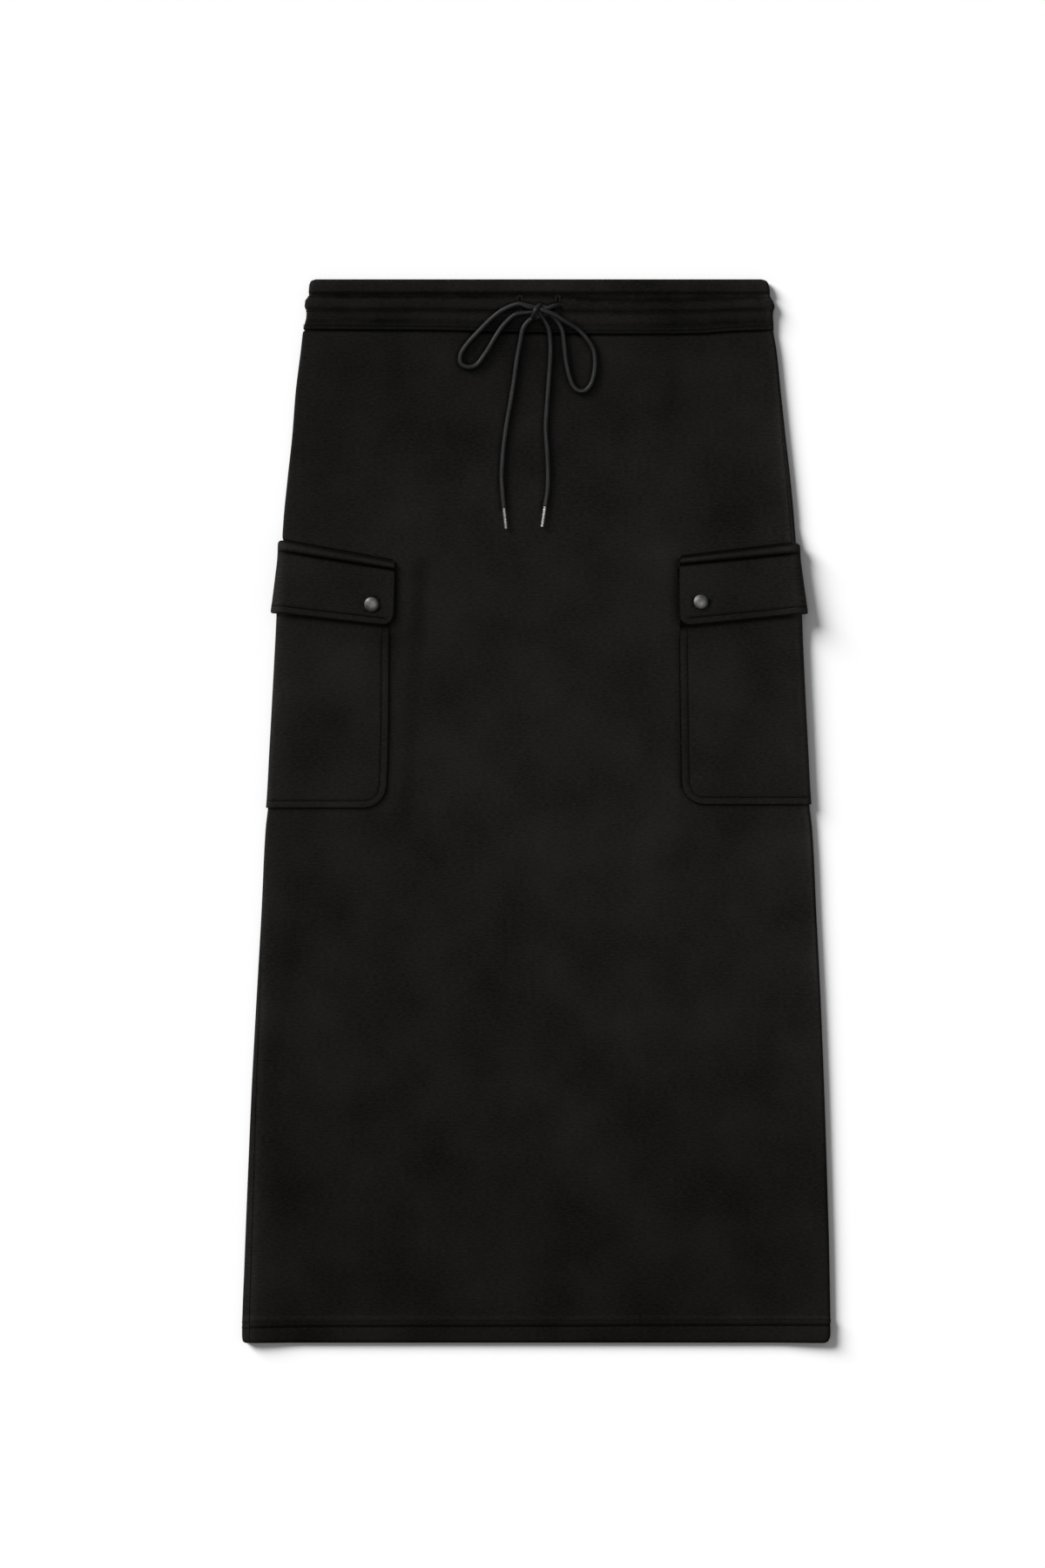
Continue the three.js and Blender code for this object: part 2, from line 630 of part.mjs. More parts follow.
put('cord_lead_left', cordPiece(LEAD_LEFT, 2), cordFinish);
put('cord_lead_right', cordPiece(LEAD_RIGHT, 3), cordFinish);
put('cord_loop_left', cordPiece(LOOP_LEFT, 19), cordFinish);
put('cord_loop_right', cordPiece(LOOP_RIGHT, 19), cordFinish);
put('cord_tail_left', cordPiece(TAIL_LEFT, 17), cordFinish);
put('cord_tail_right', cordPiece(TAIL_RIGHT, 17), cordFinish);
put('cord_knot', geometryOf(knot), cordFinish);
put('aglet_left', tipGeometry(TAIL_LEFT), gunmetal);
put('aglet_right', tipGeometry(TAIL_RIGHT), gunmetal);

export default skirt;
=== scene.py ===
# %% [markdown]
# A cargo utility skirt, laid flat
#
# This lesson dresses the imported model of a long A-line skirt in smooth black double knit. It lies
# on its back and is seen from straight above. Each piece of cloth is made again with a finer mesh,
# from the same cross-section rule and the same short tables of sizes as the solid model.
# Sizes are written in millimetres, and become metres where a mesh is made.

from math import cos, hypot, pi, radians, sin

import bpy
import numpy as np
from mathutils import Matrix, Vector


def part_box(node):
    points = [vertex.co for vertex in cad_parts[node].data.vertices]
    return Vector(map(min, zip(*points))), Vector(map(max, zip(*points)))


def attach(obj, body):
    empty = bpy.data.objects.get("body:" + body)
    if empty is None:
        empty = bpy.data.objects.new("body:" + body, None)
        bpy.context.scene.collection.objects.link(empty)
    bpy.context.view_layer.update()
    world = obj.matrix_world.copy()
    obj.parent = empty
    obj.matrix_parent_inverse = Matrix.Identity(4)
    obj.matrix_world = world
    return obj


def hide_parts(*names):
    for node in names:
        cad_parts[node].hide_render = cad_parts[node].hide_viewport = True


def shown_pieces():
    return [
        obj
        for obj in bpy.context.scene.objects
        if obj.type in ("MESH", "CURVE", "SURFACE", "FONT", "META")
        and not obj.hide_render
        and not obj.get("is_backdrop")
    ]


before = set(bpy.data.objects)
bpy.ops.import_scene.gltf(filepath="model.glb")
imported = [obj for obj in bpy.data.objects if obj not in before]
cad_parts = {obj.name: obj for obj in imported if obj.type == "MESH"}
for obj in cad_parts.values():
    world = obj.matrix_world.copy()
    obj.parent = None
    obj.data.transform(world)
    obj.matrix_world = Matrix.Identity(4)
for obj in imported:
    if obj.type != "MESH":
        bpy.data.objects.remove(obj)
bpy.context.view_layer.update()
MM = 0.001
scene = bpy.context.scene

# %% [markdown]
# The camera
#
# The photograph looks straight down. One of its pixels is 0.76 mm of the skirt, and a long lens
# high above keeps the perspective almost flat. The sensor's 36 mm lie along the frame's 1800 pixels,
# so the lens follows from the height.

# %% Camera
PIXEL = 0.7585
FRAME_LONG_SIDE = 1800
FRAME_X = -11.97
FRAME_Y = 23.55
CAMERA_HEIGHT = 3805.0
CLOTH_HEIGHT = 5.0
SENSOR = 36.0

camera_data = bpy.data.cameras.new("camera")
camera_data.sensor_width = SENSOR
camera_data.lens = SENSOR * (CAMERA_HEIGHT - CLOTH_HEIGHT) / (FRAME_LONG_SIDE * PIXEL)
camera_data.clip_end = 50.0
camera = bpy.data.objects.new("camera", camera_data)
camera.location = (FRAME_X * MM, FRAME_Y * MM, CAMERA_HEIGHT * MM)
scene.collection.objects.link(camera)
scene.camera = camera
print("lens:", round(camera_data.lens, 2), "mm")

# %% [markdown]
# Helpers for meshes
#
# Most pieces here are grids of points. A grid's quads join each point to its neighbours, and a wall
# of cloth is two grids, its outer and inner face, closed round their rim. Numpy handles whole grids
# at once, which keeps the script quick.

# %% Curves that many shapes share
def smooth(share):
    s = np.clip(share, 0.0, 1.0)
    return s * s * (3 - 2 * s)


def ramp(at, start, end):
    return smooth((at - start) / (end - start))


def shade(distance, width, share):
    return share * np.exp(-((distance / width) ** 2))


def hermite(s, start, end, first, second):
    near = (1 + 2 * s) * (1 - s) ** 2 * start + s * (1 - s) ** 2 * first
    return near + s * s * (3 - 2 * s) * end + s * s * (s - 1) * second


# %% Make a mesh from points
def link(piece):
    scene.collection.objects.link(piece)
    return piece


def store(mesh, name, kind, field, values):
    mesh.attributes.new(name, kind, "POINT").data.foreach_set(field, np.ravel(values))


def make_piece(name, points, faces, material, uv=None, painted_shading=None):
    mesh = bpy.data.meshes.new(name)
    mesh.from_pydata((points * MM).tolist(), [], faces)
    mesh.materials.append(material)
    mesh.polygons.foreach_set("use_smooth", [True] * len(mesh.polygons))
    if uv is not None:
        layer = mesh.uv_layers.new(name="cloth")
        corners = np.zeros(len(mesh.loops), int)
        mesh.loops.foreach_get("vertex_index", corners)
        layer.data.foreach_set("uv", (uv[corners] * MM).ravel())
        store(mesh, "painted_shading", "FLOAT", "value", np.clip(painted_shading, -1, 1))
    mesh.update()
    print(name, len(mesh.polygons), "faces")
    return link(bpy.data.objects.new(name, mesh))


def piece_done(piece, slot, nodes, **sheet):
    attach(piece, "root")
    if nodes:
        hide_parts(*nodes)


def keep_result(piece, change):
    view = bpy.context.evaluated_depsgraph_get()
    result = bpy.data.meshes.new_from_object(piece.evaluated_get(view))
    piece.modifiers.remove(change)
    old = piece.data
    piece.data = result
    bpy.data.meshes.remove(old)


# %% Faces of grids and rings
def grid_quads(rows, columns, start=0, flip=False):
    index = np.arange(rows * columns).reshape(rows, columns) + start
    a, b = index[:-1, :-1], index[:-1, 1:]
    c, d = index[1:, 1:], index[1:, :-1]
    order = (a, d, c, b) if flip else (a, b, c, d)
    return np.stack([corner.ravel() for corner in order], 1).tolist()


def ring_faces(rows, columns):
    index = np.arange(rows * columns).reshape(rows, columns)
    right = np.roll(index, -1, axis=1)
    quads = np.stack([index[:-1], right[:-1], right[1:], index[1:]], -1).reshape(-1, 4).tolist()
    low = [[index.size, right[0, i], index[0, i]] for i in range(columns)]
    return quads + low + [[index.size + 1, index[-1, i], right[-1, i]] for i in range(columns)]


# %% Make a closed wall from two faces
def wall_piece(name, points, normals, outer, inner, uv, painted_shading):
    rows, columns = painted_shading.shape
    grids = [points + normals * move[..., None] for move in (outer, inner)]
    corners = np.concatenate(grids).reshape(-1, 3)
    start = rows * columns
    index = np.arange(start).reshape(rows, columns)
    edge = np.concatenate([index[0, :-1], index[:-1, -1], index[-1, :0:-1], index[:0:-1, 0]])
    after = np.roll(edge, -1)
    rim_quads = np.stack([after, edge, edge + start, after + start], 1).tolist()
    faces = grid_quads(rows, columns) + grid_quads(rows, columns, start, True) + rim_quads
    middle = (rows // 2, columns // 2)
    along, up = (np.gradient(points, axis=axis)[middle] for axis in (1, 0))
    if np.cross(along, up) @ normals[middle] < 0:
        faces = [face[::-1] for face in faces]
    both = np.tile(uv.reshape(-1, 2), (2, 1))
    piece = make_piece(name, corners, faces, knit, both, np.tile(painted_shading.ravel(), 2))
    return piece, grids[0]


# %% Make a node material
def node(tree, kind, *inputs, **named):
    made = tree.nodes.new(kind)
    made.location.x = 200 * len(tree.nodes)
    values = dict(enumerate(inputs))
    for key, value in named.items():
        if key[0].isupper():
            values[key.replace("_", " ")] = value
        else:
            setattr(made, key, value)
    for key, value in values.items():
        if isinstance(value, bpy.types.NodeSocket):
            tree.links.new(value, made.inputs[key])
        elif value is not None:
            made.inputs[key].default_value = value
    return made


def feed(tree, kind, *inputs, **named):
    return node(tree, kind, *inputs, **named).outputs[0]


def maths(tree, operation, *inputs):
    return feed(tree, "ShaderNodeMath", *inputs, operation=operation)


def noise(tree, place, scale, detail, roughness=0.5):
    return feed(tree, "ShaderNodeTexNoise", Vector=place, Scale=scale, Detail=detail, Roughness=roughness)


def toned(tree, share, dark, light, start=0.0, end=1.0):
    tone = node(tree, "ShaderNodeValToRGB", share)
    for stop, color, at in zip(tone.color_ramp.elements, (dark, light), (start, end)):
        stop.position = at
        stop.color = (*color, 1)
    return tone.outputs[0]


def raised(tree, height, strength, distance, normal=None):
    return feed(tree, "ShaderNodeBump", Strength=strength, Distance=distance, Height=height, Normal=normal)


def new_material(name, **values):
    material = bpy.data.materials.new(name)
    material.use_nodes = True
    tree = material.node_tree
    shader = tree.nodes["Principled BSDF"]
    for key, value in values.items():
        shader.inputs[key.replace("_", " ")].default_value = value
    return material, tree


def dress(tree, **sockets):
    for key, socket in sockets.items():
        tree.links.new(socket, tree.nodes["Principled BSDF"].inputs[key.replace("_", " ")])

# %% [markdown]
# Cotton cord, metal and thread
#
# The drawcord is a charcoal cotton cord, a little lighter than the cloth, with fine wales along it.
# Its mesh carries an attribute named strand, high on each wale and low between them, so painted
# shade darkens the gaps in the colour whatever way the cord lies. Fine noise gives the fuzz of cotton.

# %% Cord finish
braid, tree = new_material("braid", Roughness=0.42, Specular_IOR_Level=0.09)
place = node(tree, "ShaderNodeTexCoord").outputs
strand = node(tree, "ShaderNodeAttribute", attribute_name="strand").outputs["Fac"]
# Painted shade: the colour darkens between the wales, where the cord's gaps lie in shade.
dress(
    tree,
    Base_Color=toned(tree, strand, (0.002, 0.002, 0.002), (0.0118, 0.0118, 0.0119)),
    Normal=raised(tree, noise(tree, place["Object"], 2600.0, 3.0), 0.5, 0.00012),
)

# %% [markdown]
# The drawcord's routes
#
# Each half of the drawcord leaves its buttonhole, goes through the knot, makes one loop of the bow
# and ends in a hanging tail with a metal tip. It is one smooth tube through listed points.
# A centripetal curve keeps its bends even where the points are close, as in the knot.

# %% Smooth curves through points
STEPS_A_GAP = 24


def smooth_path(route, spacing):
    points = np.array(route)
    points = np.vstack([2 * points[0] - points[1], points, 2 * points[-1] - points[-2]])
    gaps = np.sqrt(np.linalg.norm(np.diff(points, axis=0), axis=1))[:, None]
    slopes = np.diff(points, axis=0) / gaps
    tangents = slopes[:-1] + slopes[1:] - (points[2:] - points[:-2]) / (gaps[:-1] + gaps[1:])
    s = np.linspace(0, 1, STEPS_A_GAP, endpoint=False)[:, None]
    fine = [
        hermite(s, points[i], points[i + 1], gaps[i] * tangents[i - 1], gaps[i] * tangents[i])
        for i in range(1, len(points) - 2)
    ]
    fine = np.vstack(fine + [points[-2:-1]])
    along = np.concatenate([[0], np.cumsum(np.linalg.norm(np.diff(fine, axis=0), axis=1))])
    at = np.linspace(0, along[-1], round(along[-1] / spacing))
    return np.stack([np.interp(at, along, fine[:, k]) for k in range(3)], 1), along[-1]


def frames_along(points):
    tangents = np.gradient(points, axis=0)
    tangents /= np.linalg.norm(tangents, axis=1)[:, None]
    side = np.cross(tangents[0], (0.0, 0.0, 1.0))
    sides = []
    for tangent in tangents:
        side = side - tangent * np.dot(side, tangent)
        side = side / np.linalg.norm(side)
        sides.append(side)
    return tangents, np.array(sides), np.cross(tangents, sides)


# %% Knitted tube
CORD = 4.1
CORD_WALES = 9
CORD_COURSE = 1.5
CORD_TWIST = 0.004
CORD_RELIEF = 0.3
CORD_SIDES = 54
CORD_STEP = 0.42


def braid_height(turn, along):
    wale = CORD_WALES * (turn + CORD_TWIST * along)
    across = np.abs(wale - np.round(wale))
    ribs = np.cos(2 * pi * (along / CORD_COURSE - 1.2 * across))
    return np.cos(pi * across) ** 0.7 * (0.8 + 0.2 * ribs)


def braided_cord(name, route):
    points, length = smooth_path(route, CORD_STEP)
    tangents, sides, ups = frames_along(points)
    turn = np.arange(CORD_SIDES) / CORD_SIDES
    height = braid_height(turn, np.linspace(0, length, len(points))[:, None])
    radius = CORD / 2 - CORD_RELIEF * (1 - height)
    angle = 2 * pi * turn[:, None]
    ring = np.cos(angle) * sides[:, None] + np.sin(angle) * ups[:, None]
    grid = (points[:, None] + ring * radius[..., None]).reshape(-1, 3)
    piece = make_piece(name, np.vstack([grid, points[:1], points[-1:]]), ring_faces(*radius.shape), braid)
    store(piece.data, "strand", "FLOAT", "value", np.append(height, [0.5, 0.5]))
    return piece, points, length, tangents[-1]


# %% The two halves of the drawcord
LEFT_ROUTE = [
    (-14, 440.6, 6.6), (-12.2, 440.3, 8.6), (-9.8, 439.8, 9.9), (-5.8, 439, 10.1),
    (-1, 438, 9.1), (2, 437.4, 9.1), (3.9, 436.9, 11.1), (2, 436.6, 13.1), (-1.6, 437, 13.5),
    (-6.5, 437.8, 14.5), (-14.8, 440.4, 14.4), (-27, 436.6, 11.8), (-38.4, 429, 9.3),
    (-49.8, 417.6, 7.7), (-60.4, 406.2, 6.9), (-65.8, 397.1, 6.3), (-65.6, 389.7, 6.2),
    (-60.4, 386.5, 6.2), (-52.8, 388, 6.2), (-44.5, 397.9, 6.4), (-35.3, 413.1, 7.4),
    (-27, 424.5, 8.6), (-17.9, 432, 10), (-6.5, 433.7, 10.8), (-1.4, 434, 10.6),
    (0.4, 432.2, 9.4), (-1.2, 430.4, 9.2), (-4.2, 428.3, 9.6), (-11, 420.7, 8.2),
    (-14.1, 407, 6.9), (-17.1, 391, 6.1), (-19.4, 373.5, 6), (-22.4, 355.3, 6),
    (-26.2, 333.3, 5.8), (-28.9, 311.2, 5.8), (-30, 292.2, 5.8), (-29.2, 276.3, 5.8),
    (-28, 264.1, 5.8),
]
RIGHT_ROUTE = [
    (19.4, 440.2, 6.6), (17.4, 439.8, 8.4), (14.6, 439, 9.9), (9.8, 437.4, 10.4),
    (5.4, 438.4, 9.8), (3.2, 439.6, 11.2), (1.2, 437.8, 14.4), (-0.8, 434.6, 15.9),
    (-2.2, 431.4, 14.2), (-2.8, 429.4, 10.8), (-0.6, 429.2, 8.2), (4.4, 430.8, 7.9),
    (10.5, 432.4, 9.8), (17.1, 427.5, 9), (22.4, 419.1, 8.1), (24.4, 406.2, 6.9),
    (26.2, 391, 6.2), (29, 378.1, 6.1), (32.2, 370.2, 6.1), (36.8, 366, 6.1),
    (42, 365.9, 6.1), (46.9, 370.2, 6.1), (50, 378.6, 6.1), (51.3, 391, 6.2),
    (49.8, 401.7, 6.6), (43.7, 411.5, 7.6), (36.1, 419.1, 8.9), (25.5, 425.2, 11.6),
    (15.6, 431.3, 13.6),
    (9.5, 433.6, 14.2), (5, 435.2, 13.6), (2, 434.8, 11.6), (3.6, 432, 10.6),
    (7.6, 426, 8.8), (11, 419.1, 8.1), (12.5, 406.2, 6.9), (12.2, 391, 6.1),
    (11, 373.5, 6), (9.5, 353.7, 6), (8.4, 333.3, 5.8), (9.5, 314.3, 5.8),
    (10.3, 296.8, 5.8), (9.9, 279.3, 5.8), (7.9, 265.4, 5.8),
]
cords = {}
for side, route in (("left", LEFT_ROUTE), ("right", RIGHT_ROUTE)):
    cords[side] = braided_cord(f"drawcord_{side}", route)
    print(side, "cord:", round(cords[side][2]), "mm")

# %% [markdown]
# Metal tips
#
# Each tail ends in a tip rolled from thin metal sheet and squeezed on the cord, so it has a seam
# along its length and a ring pressed in near each end. A turned profile gives the rings, and a
# small dip in the radius at one angle gives the seam.

# %% Two metals from one recipe
def metal(name, dark, light, smoothest, roughest):
    material, tree = new_material(name, Metallic=1.0)
    place = node(tree, "ShaderNodeTexCoord").outputs
    blotch = noise(tree, place["Object"], 420.0, 5.0, 0.65)
    scuff = noise(tree, place["Object"], 1500.0, 4.0)
    dress(
        tree,
        Base_Color=toned(tree, blotch, dark, light, 0.34, 0.68),
        Roughness=feed(tree, "ShaderNodeMapRange", Value=scuff, To_Min=smoothest, To_Max=roughest),
        Normal=raised(tree, scuff, 0.35, 0.00008),
    )
    return material


gunmetal = metal("gunmetal", (0.08, 0.08, 0.077), (0.15, 0.15, 0.143), 0.38, 0.52)
plating = metal("plating", (0.036, 0.036, 0.035), (0.072, 0.072, 0.069), 0.46, 0.58)

# %% Turned shapes
TIP_SEAM_ANGLE = 1.9
TIP_SEAM_WIDTH = 0.16


def turned_grid(profile, around, seam_dip=0.0):
    profile = np.array(profile, float)
    angle = np.arange(around) / around * 2 * pi
    from_seam = np.mod(angle - TIP_SEAM_ANGLE + pi, 2 * pi) - pi
    radius = profile[1:-1, :1] * (1 - shade(from_seam, TIP_SEAM_WIDTH, seam_dip))
    height = profile[1:-1, 1:] + 0 * angle
    rings = np.stack([radius * np.cos(angle), radius * np.sin(angle), height], -1)
    ends = [[0, 0, profile[0, 1]], [0, 0, profile[-1, 1]]]
    return np.vstack([rings.reshape(-1, 3), ends]), ring_faces(*radius.shape)


# %% Tips on the two tails
TIP_PROFILE = [
    (0, 0.6), (1.35, 0.5), (1.62, 0.1), (1.74, 0.3), (1.74, 0.9), (1.6, 1.5), (1.5, 1.8),
    (1.6, 2.1), (1.7, 2.8), (1.72, 6), (1.66, 10), (1.68, 14.6), (1.66, 15.6), (1.52, 16.1),
    (1.64, 16.6), (1.72, 17.3), (1.7, 18.1), (1.45, 18.45), (1.1, 18.2), (0, 18),
]
CORD_TO_TIP = 0.3
for side, (piece, points, length, direction) in cords.items():
    ring_points, faces = turned_grid(TIP_PROFILE, 40, 0.09)
    turn = Vector((0, 0, 1)).rotation_difference(Vector(direction)).to_matrix()
    placed = ring_points @ np.array(turn).T + points[-1] + direction * CORD_TO_TIP
    tip = make_piece(f"tip_{side}", placed, faces, gunmetal)
    piece_done(tip, "gunmetal", [f"aglet_{side}"])
    nodes = [f"cord_{part}_{side}" for part in ("lead", "loop", "tail")]
    piece_done(piece, "braid", nodes + ["cord_knot"] * (side == "right"))

# %% [markdown]
# The skirt's sizes
#
# A flattened tube of cloth needs only a few curves: where its two side folds lie, how its sewn
# cross lines slant, where its side seams wander, and how far the pockets and flaps reach. Each
# table names its columns, and is read with a smooth curve that never overshoots between its rows.

# %% Tables and how they are read
def table(names, rows):
    return dict(zip(names.split(), np.array(rows, float).T))


def read(source, at, column):
    xs, ys = next(iter(source.values())), source[column]
    steps = np.diff(xs)
    rates = np.diff(ys) / steps
    before, after = rates[:-1], rates[1:]
    heavy = 2 * steps[1:] + steps[:-1]
    light = steps[1:] + 2 * steps[:-1]
    same = before * after > 0
    safe_before, safe_after = np.where(same, before, 1.0), np.where(same, after, 1.0)
    mean = (heavy + light) / (heavy / safe_before + light / safe_after)
    slopes = np.concatenate([rates[:1], np.where(same, mean, 0.0), rates[-1:]])
    at = np.clip(at, xs[0], xs[-1])
    i = np.clip(np.searchsorted(xs, at, side="right") - 1, 0, len(xs) - 2)
    return hermite((at - xs[i]) / steps[i], ys[i], ys[i + 1], steps[i] * slopes[i], steps[i] * slopes[i + 1])


# %% Outline, slanted lines and seams
CLOTH = 1.5
HEM_CLOTH = 2.3
GAP = 0.3
PLY = CLOTH + GAP
SEAM_HALF_GAP = 0.22
HEM_Y = -463.2
HEM_SEWN_Y = -442.5
HEM_STEP_Y = -439.5
BAND_SEAM_Y = 418.9
SIGN = {"left": -1, "right": 1}

OUTLINE = table("y left right", [
    (-463.2, -254.2, 252.2), (-461.4, -255.8, 254.6), (-456, -256.4, 256.4),
    (-394.8, -254.4, 255.6), (-318.8, -251.4, 253.5), (-242.8, -248.1, 251),
    (-166.8, -244, 248), (-90.8, -239.6, 244.2), (-14.8, -235.8, 240.4),
    (4.2, -233.6, 238.1), (61.2, -230.4, 234.9), (137.2, -226.2, 231.1),
    (175.2, -224.2, 229.5), (213.2, -222.3, 227.2), (251.2, -220.5, 225),
    (289.2, -216.8, 221.5), (327.2, -212.7, 217.2), (365.2, -209.7, 213.2),
    (403.2, -205, 209.2), (418.9, -203.3, 206.6), (470, -198, 203),
])
LINES = table("row left_y left_fall right_y right_fall", [
    (-470, -470, 0, -470, 0), (-22, -22, 0, -20, 0), (4, 2.7, 0, 5.7, 0),
    (60, 60, 0.01, 60, 0.01), (172, 172.1, 0.112, 171.4, 0.102),
    (226, 226.9, 0.161, 225, 0.095), (233, 234.5, 0.184, 232, 0.119),
    (250, 251, 0.17, 250, 0.11), (340, 340, 0, 340, 0), (480, 480, 0, 480, 0),
])
SEAMS = table("row left right", [
    (-463.2, 8.8, -5), (-385, 8, -4.5), (-325, 7.6, -3.5), (-260, 6.6, -2),
    (-195, 5.6, 0.4), (-130, 3.6, 3), (-70, 0.5, 3), (4, -2, 3.7), (172, -3, 5),
    (250, -3, 5.6), (310, -3, 5.2), (362, -3, 3.2), (418.7, -3, 2), (470, -3, 2),
])
BAND_DIPS = table("x dip", [
    (-210, 0), (-100, 0.6), (0, 2.6), (70, 4), (140, 3.6), (175, 1.4), (215, 0.4),
])

# %% [markdown]
# Gathers, creases and troughs
#
# Knit never lies quite flat. The elastic gathers the cloth into soft upright folds below the
# waistband, and the rest has a few long shallow troughs where it was smoothed by hand. Each one is
# a line with a width and a height, uneven as real ones are. Cloth simulation would bring
# sharper wrinkles than the photograph shows, so they are listed one by one.

# %% Soft folds listed one by one
GATHERS = table("x width length height", [
    (-170, 30, 90, 0.8), (-134, 26, 130, 0.9), (-100, 24, 70, 0.7), (-72, 22, 150, 0.9),
    (74, 26, 80, 0.7), (103, 26, 140, 0.9), (138, 28, 70, 0.7), (172, 28, 110, 0.8),
])
FRONT_CREASES = table("x0 y0 x1 y1 width height", [
    (-70, 345, -66, 205, 11, -0.8), (-119, 425, -124, 318, 7, -0.6), (-140, 425, -150, 345, 6, -0.5),
    (90, 425, 84, 270, 13, -0.9), (121, 425, 128, 300, 10, -0.7), (35, 300, 50, 120, 16, -0.5),
    (-115, 160, -112, -205, 13, -0.8), (-214, -40, -216, -305, 7, -0.5),
    (-20, 180, -60, -120, 20, -0.5), (118, 60, 150, -260, 16, -0.6), (40, -80, 30, -420, 22, -0.5),
    (-150, -180, -170, -430, 14, -0.4), (200, -60, 214, -330, 9, -0.5), (-40, 415, -44, 350, 5, -0.3),
    (146, 425, 152, 372, 5, -0.4), (176, 425, 184, 352, 6, -0.4), (-176, 425, -184, 340, 6, -0.4),
])
BACK_CREASES = table("x0 y0 x1 y1 width height", [
    (60, 150, 72, -220, 14, -0.3), (-80, 60, -96, -300, 16, -0.3), (10, 340, 4, 90, 18, -0.3),
])


def gather_at(x, y):
    height = np.zeros_like(x)
    for at, width, length, tall in zip(*GATHERS.values()):
        across = np.clip(np.abs(x - at) / width, 0, 1)
        along = (BAND_SEAM_Y - y) / length
        height += tall * np.cos(across * pi / 2) ** 2 * (1 - smooth(along))
    return height


def crease_at(creases, x, y):
    height = np.zeros_like(x)
    for x0, y0, x1, y1, width, tall in zip(*creases.values()):
        length = hypot(x1 - x0, y1 - y0)
        along = ((x - x0) * (x1 - x0) + (y - y0) * (y1 - y0)) / length**2
        bow = 0.03 * length * np.sin(2 * pi * np.clip(along, 0, 1))
        across = ((x - x0) * (y1 - y0) - (y - y0) * (x1 - x0)) / length + bow
        ends = smooth(along / 0.3) * smooth((1 - along) / 0.3)
        height += tall * np.exp(-((across / width) ** 2)) * ends
    return height

# %% [markdown]
# The cross-section rule
#
# A point of the tube is given by its side, its distance round the cloth from that side's fold, and
# its row. Close to the fold the section is half an ellipse, and further in it runs level, at a
# height that the layers below it set. Moving a point out along its own normal gives the next layer,
# so pockets and flaps follow the skirt round its side without touching it.

# %% The skirt's section
FOLD_DEPTH = 3.0
FOLD_LIFT = 2.6
FOLD_REACH = 46
SEAM_SHARE_REACH = 24
LIFT_INNER = 112
LIFT_OUTER = 131
# Painted light along the side folds, left and right, and at their very edge.
FOLD_PAINTED_LIGHT = {"left": 0.45, "right": 0.4}
FOLD_PAINTED_LIGHT_REACH = 12.0
FOLD_EDGE_PAINTED_LIGHT = 0.7
CORD_DARK = 0.75
CORD_REACH = 2.2


# The cloth climbs on to the pocket and then the flap between these rows, and leaves both above them.
POCKET_CLIMB = (-22, 3)
FLAP_CLIMB = (148, 170)
BOTH_LEFT = (234, 252)
HEM_ROLL = 3


def lift_under(inward, row):
    across = 1 - ramp(inward, LIFT_INNER, LIFT_OUTER)
    climbs = ramp(row, *POCKET_CLIMB) + ramp(row, *FLAP_CLIMB)
    return PLY * across * climbs * (1 - ramp(row, *BOTH_LEFT))


def at_hem_edge(row):
    return 1 - ramp(row, HEM_Y, HEM_Y + HEM_ROLL)


def cloth_at(row):
    return HEM_CLOTH + (CLOTH - HEM_CLOTH) * ramp(row, HEM_SEWN_Y, HEM_STEP_Y)


class Body:
    def fold_depth(self, row):
        return FOLD_DEPTH + 0 * row

    def half_x(self, side, y):
        return np.abs(read(OUTLINE, y, side))

    def levels(self, side, inward, row, x, y):
        edge = at_hem_edge(row)
        low = lift_under(inward, row) + 0.3 * edge
        press = 1 - 0.4 * ramp(row, -22, 4) * (1 - ramp(row, 234, 260))
        fold = FOLD_LIFT * press * (1 - smooth((inward - FOLD_DEPTH) / FOLD_REACH))
        band_rise = 1.5 * ramp(row, 396, 419)
        top = low + 2 * cloth_at(row) + GAP + np.maximum(fold, band_rise) - 1.1 * edge
        return low, top + gather_at(x, y) * ramp(inward, FOLD_DEPTH, FOLD_DEPTH + 6)

    def line_y(self, side, row):
        return read(LINES, row, f"{side}_y")

    def fall(self, side, row):
        return read(LINES, row, f"{side}_fall")


# %% Points of a section
ELLIPSE_QUARTER = 1.62
TURN_STEP = 0.05


def section_point(shape, side, around, row):
    depth = shape.fold_depth(row)
    quarter = depth * ELLIPSE_QUARTER
    reach = np.abs(around)
    angle = np.minimum(reach, quarter) / quarter * pi / 2
    inward = np.where(reach < quarter, depth * (1 - np.cos(angle)), depth + reach - quarter)
    y = shape.line_y(side, row) - shape.fall(side, row) * np.minimum(inward, LIFT_OUTER)
    x = SIGN[side] * (shape.half_x(side, y) - inward)
    low, high = shape.levels(side, np.maximum(inward, depth), row, x, y)
    z = (low + high) / 2 + np.sign(around) * (high - low) / 2 * np.sin(angle)
    return np.stack([x, y, z], -1)


def with_normals(shape, side, column, row, nudge=0.0):
    share = np.maximum(0, 1 - np.abs(column) / SEAM_SHARE_REACH)
    around = column + read(SEAMS, row, side) * share + nudge
    ahead, behind = (section_point(shape, side, around + step, row) for step in (TURN_STEP, -TURN_STEP))
    turn = (ahead - behind) * SIGN[side]
    size = np.hypot(turn[..., 0], turn[..., 2])
    normals = np.stack([turn[..., 2] / size, 0 * size, -turn[..., 0] / size], -1)
    return section_point(shape, side, around, row), normals, around


def rim(distance, radius):
    inside = np.clip(1 - distance / radius, 0, 1)
    return radius * (1 - np.sqrt(1 - inside**2))


def crevice(distance, width, depth):
    return -depth * np.exp(-np.sqrt(distance**2 + 0.02) / width)


def cord_shade(points):
    near = np.full(points.shape[:-1], 99.0)
    for piece, path, length, direction in cords.values():
        for spot in path[::3]:
            near = np.minimum(near, np.hypot(points[..., 0] - spot[0], points[..., 1] - spot[1]))
    return shade(np.maximum(near - CORD / 2, 0), CORD_REACH, CORD_DARK)
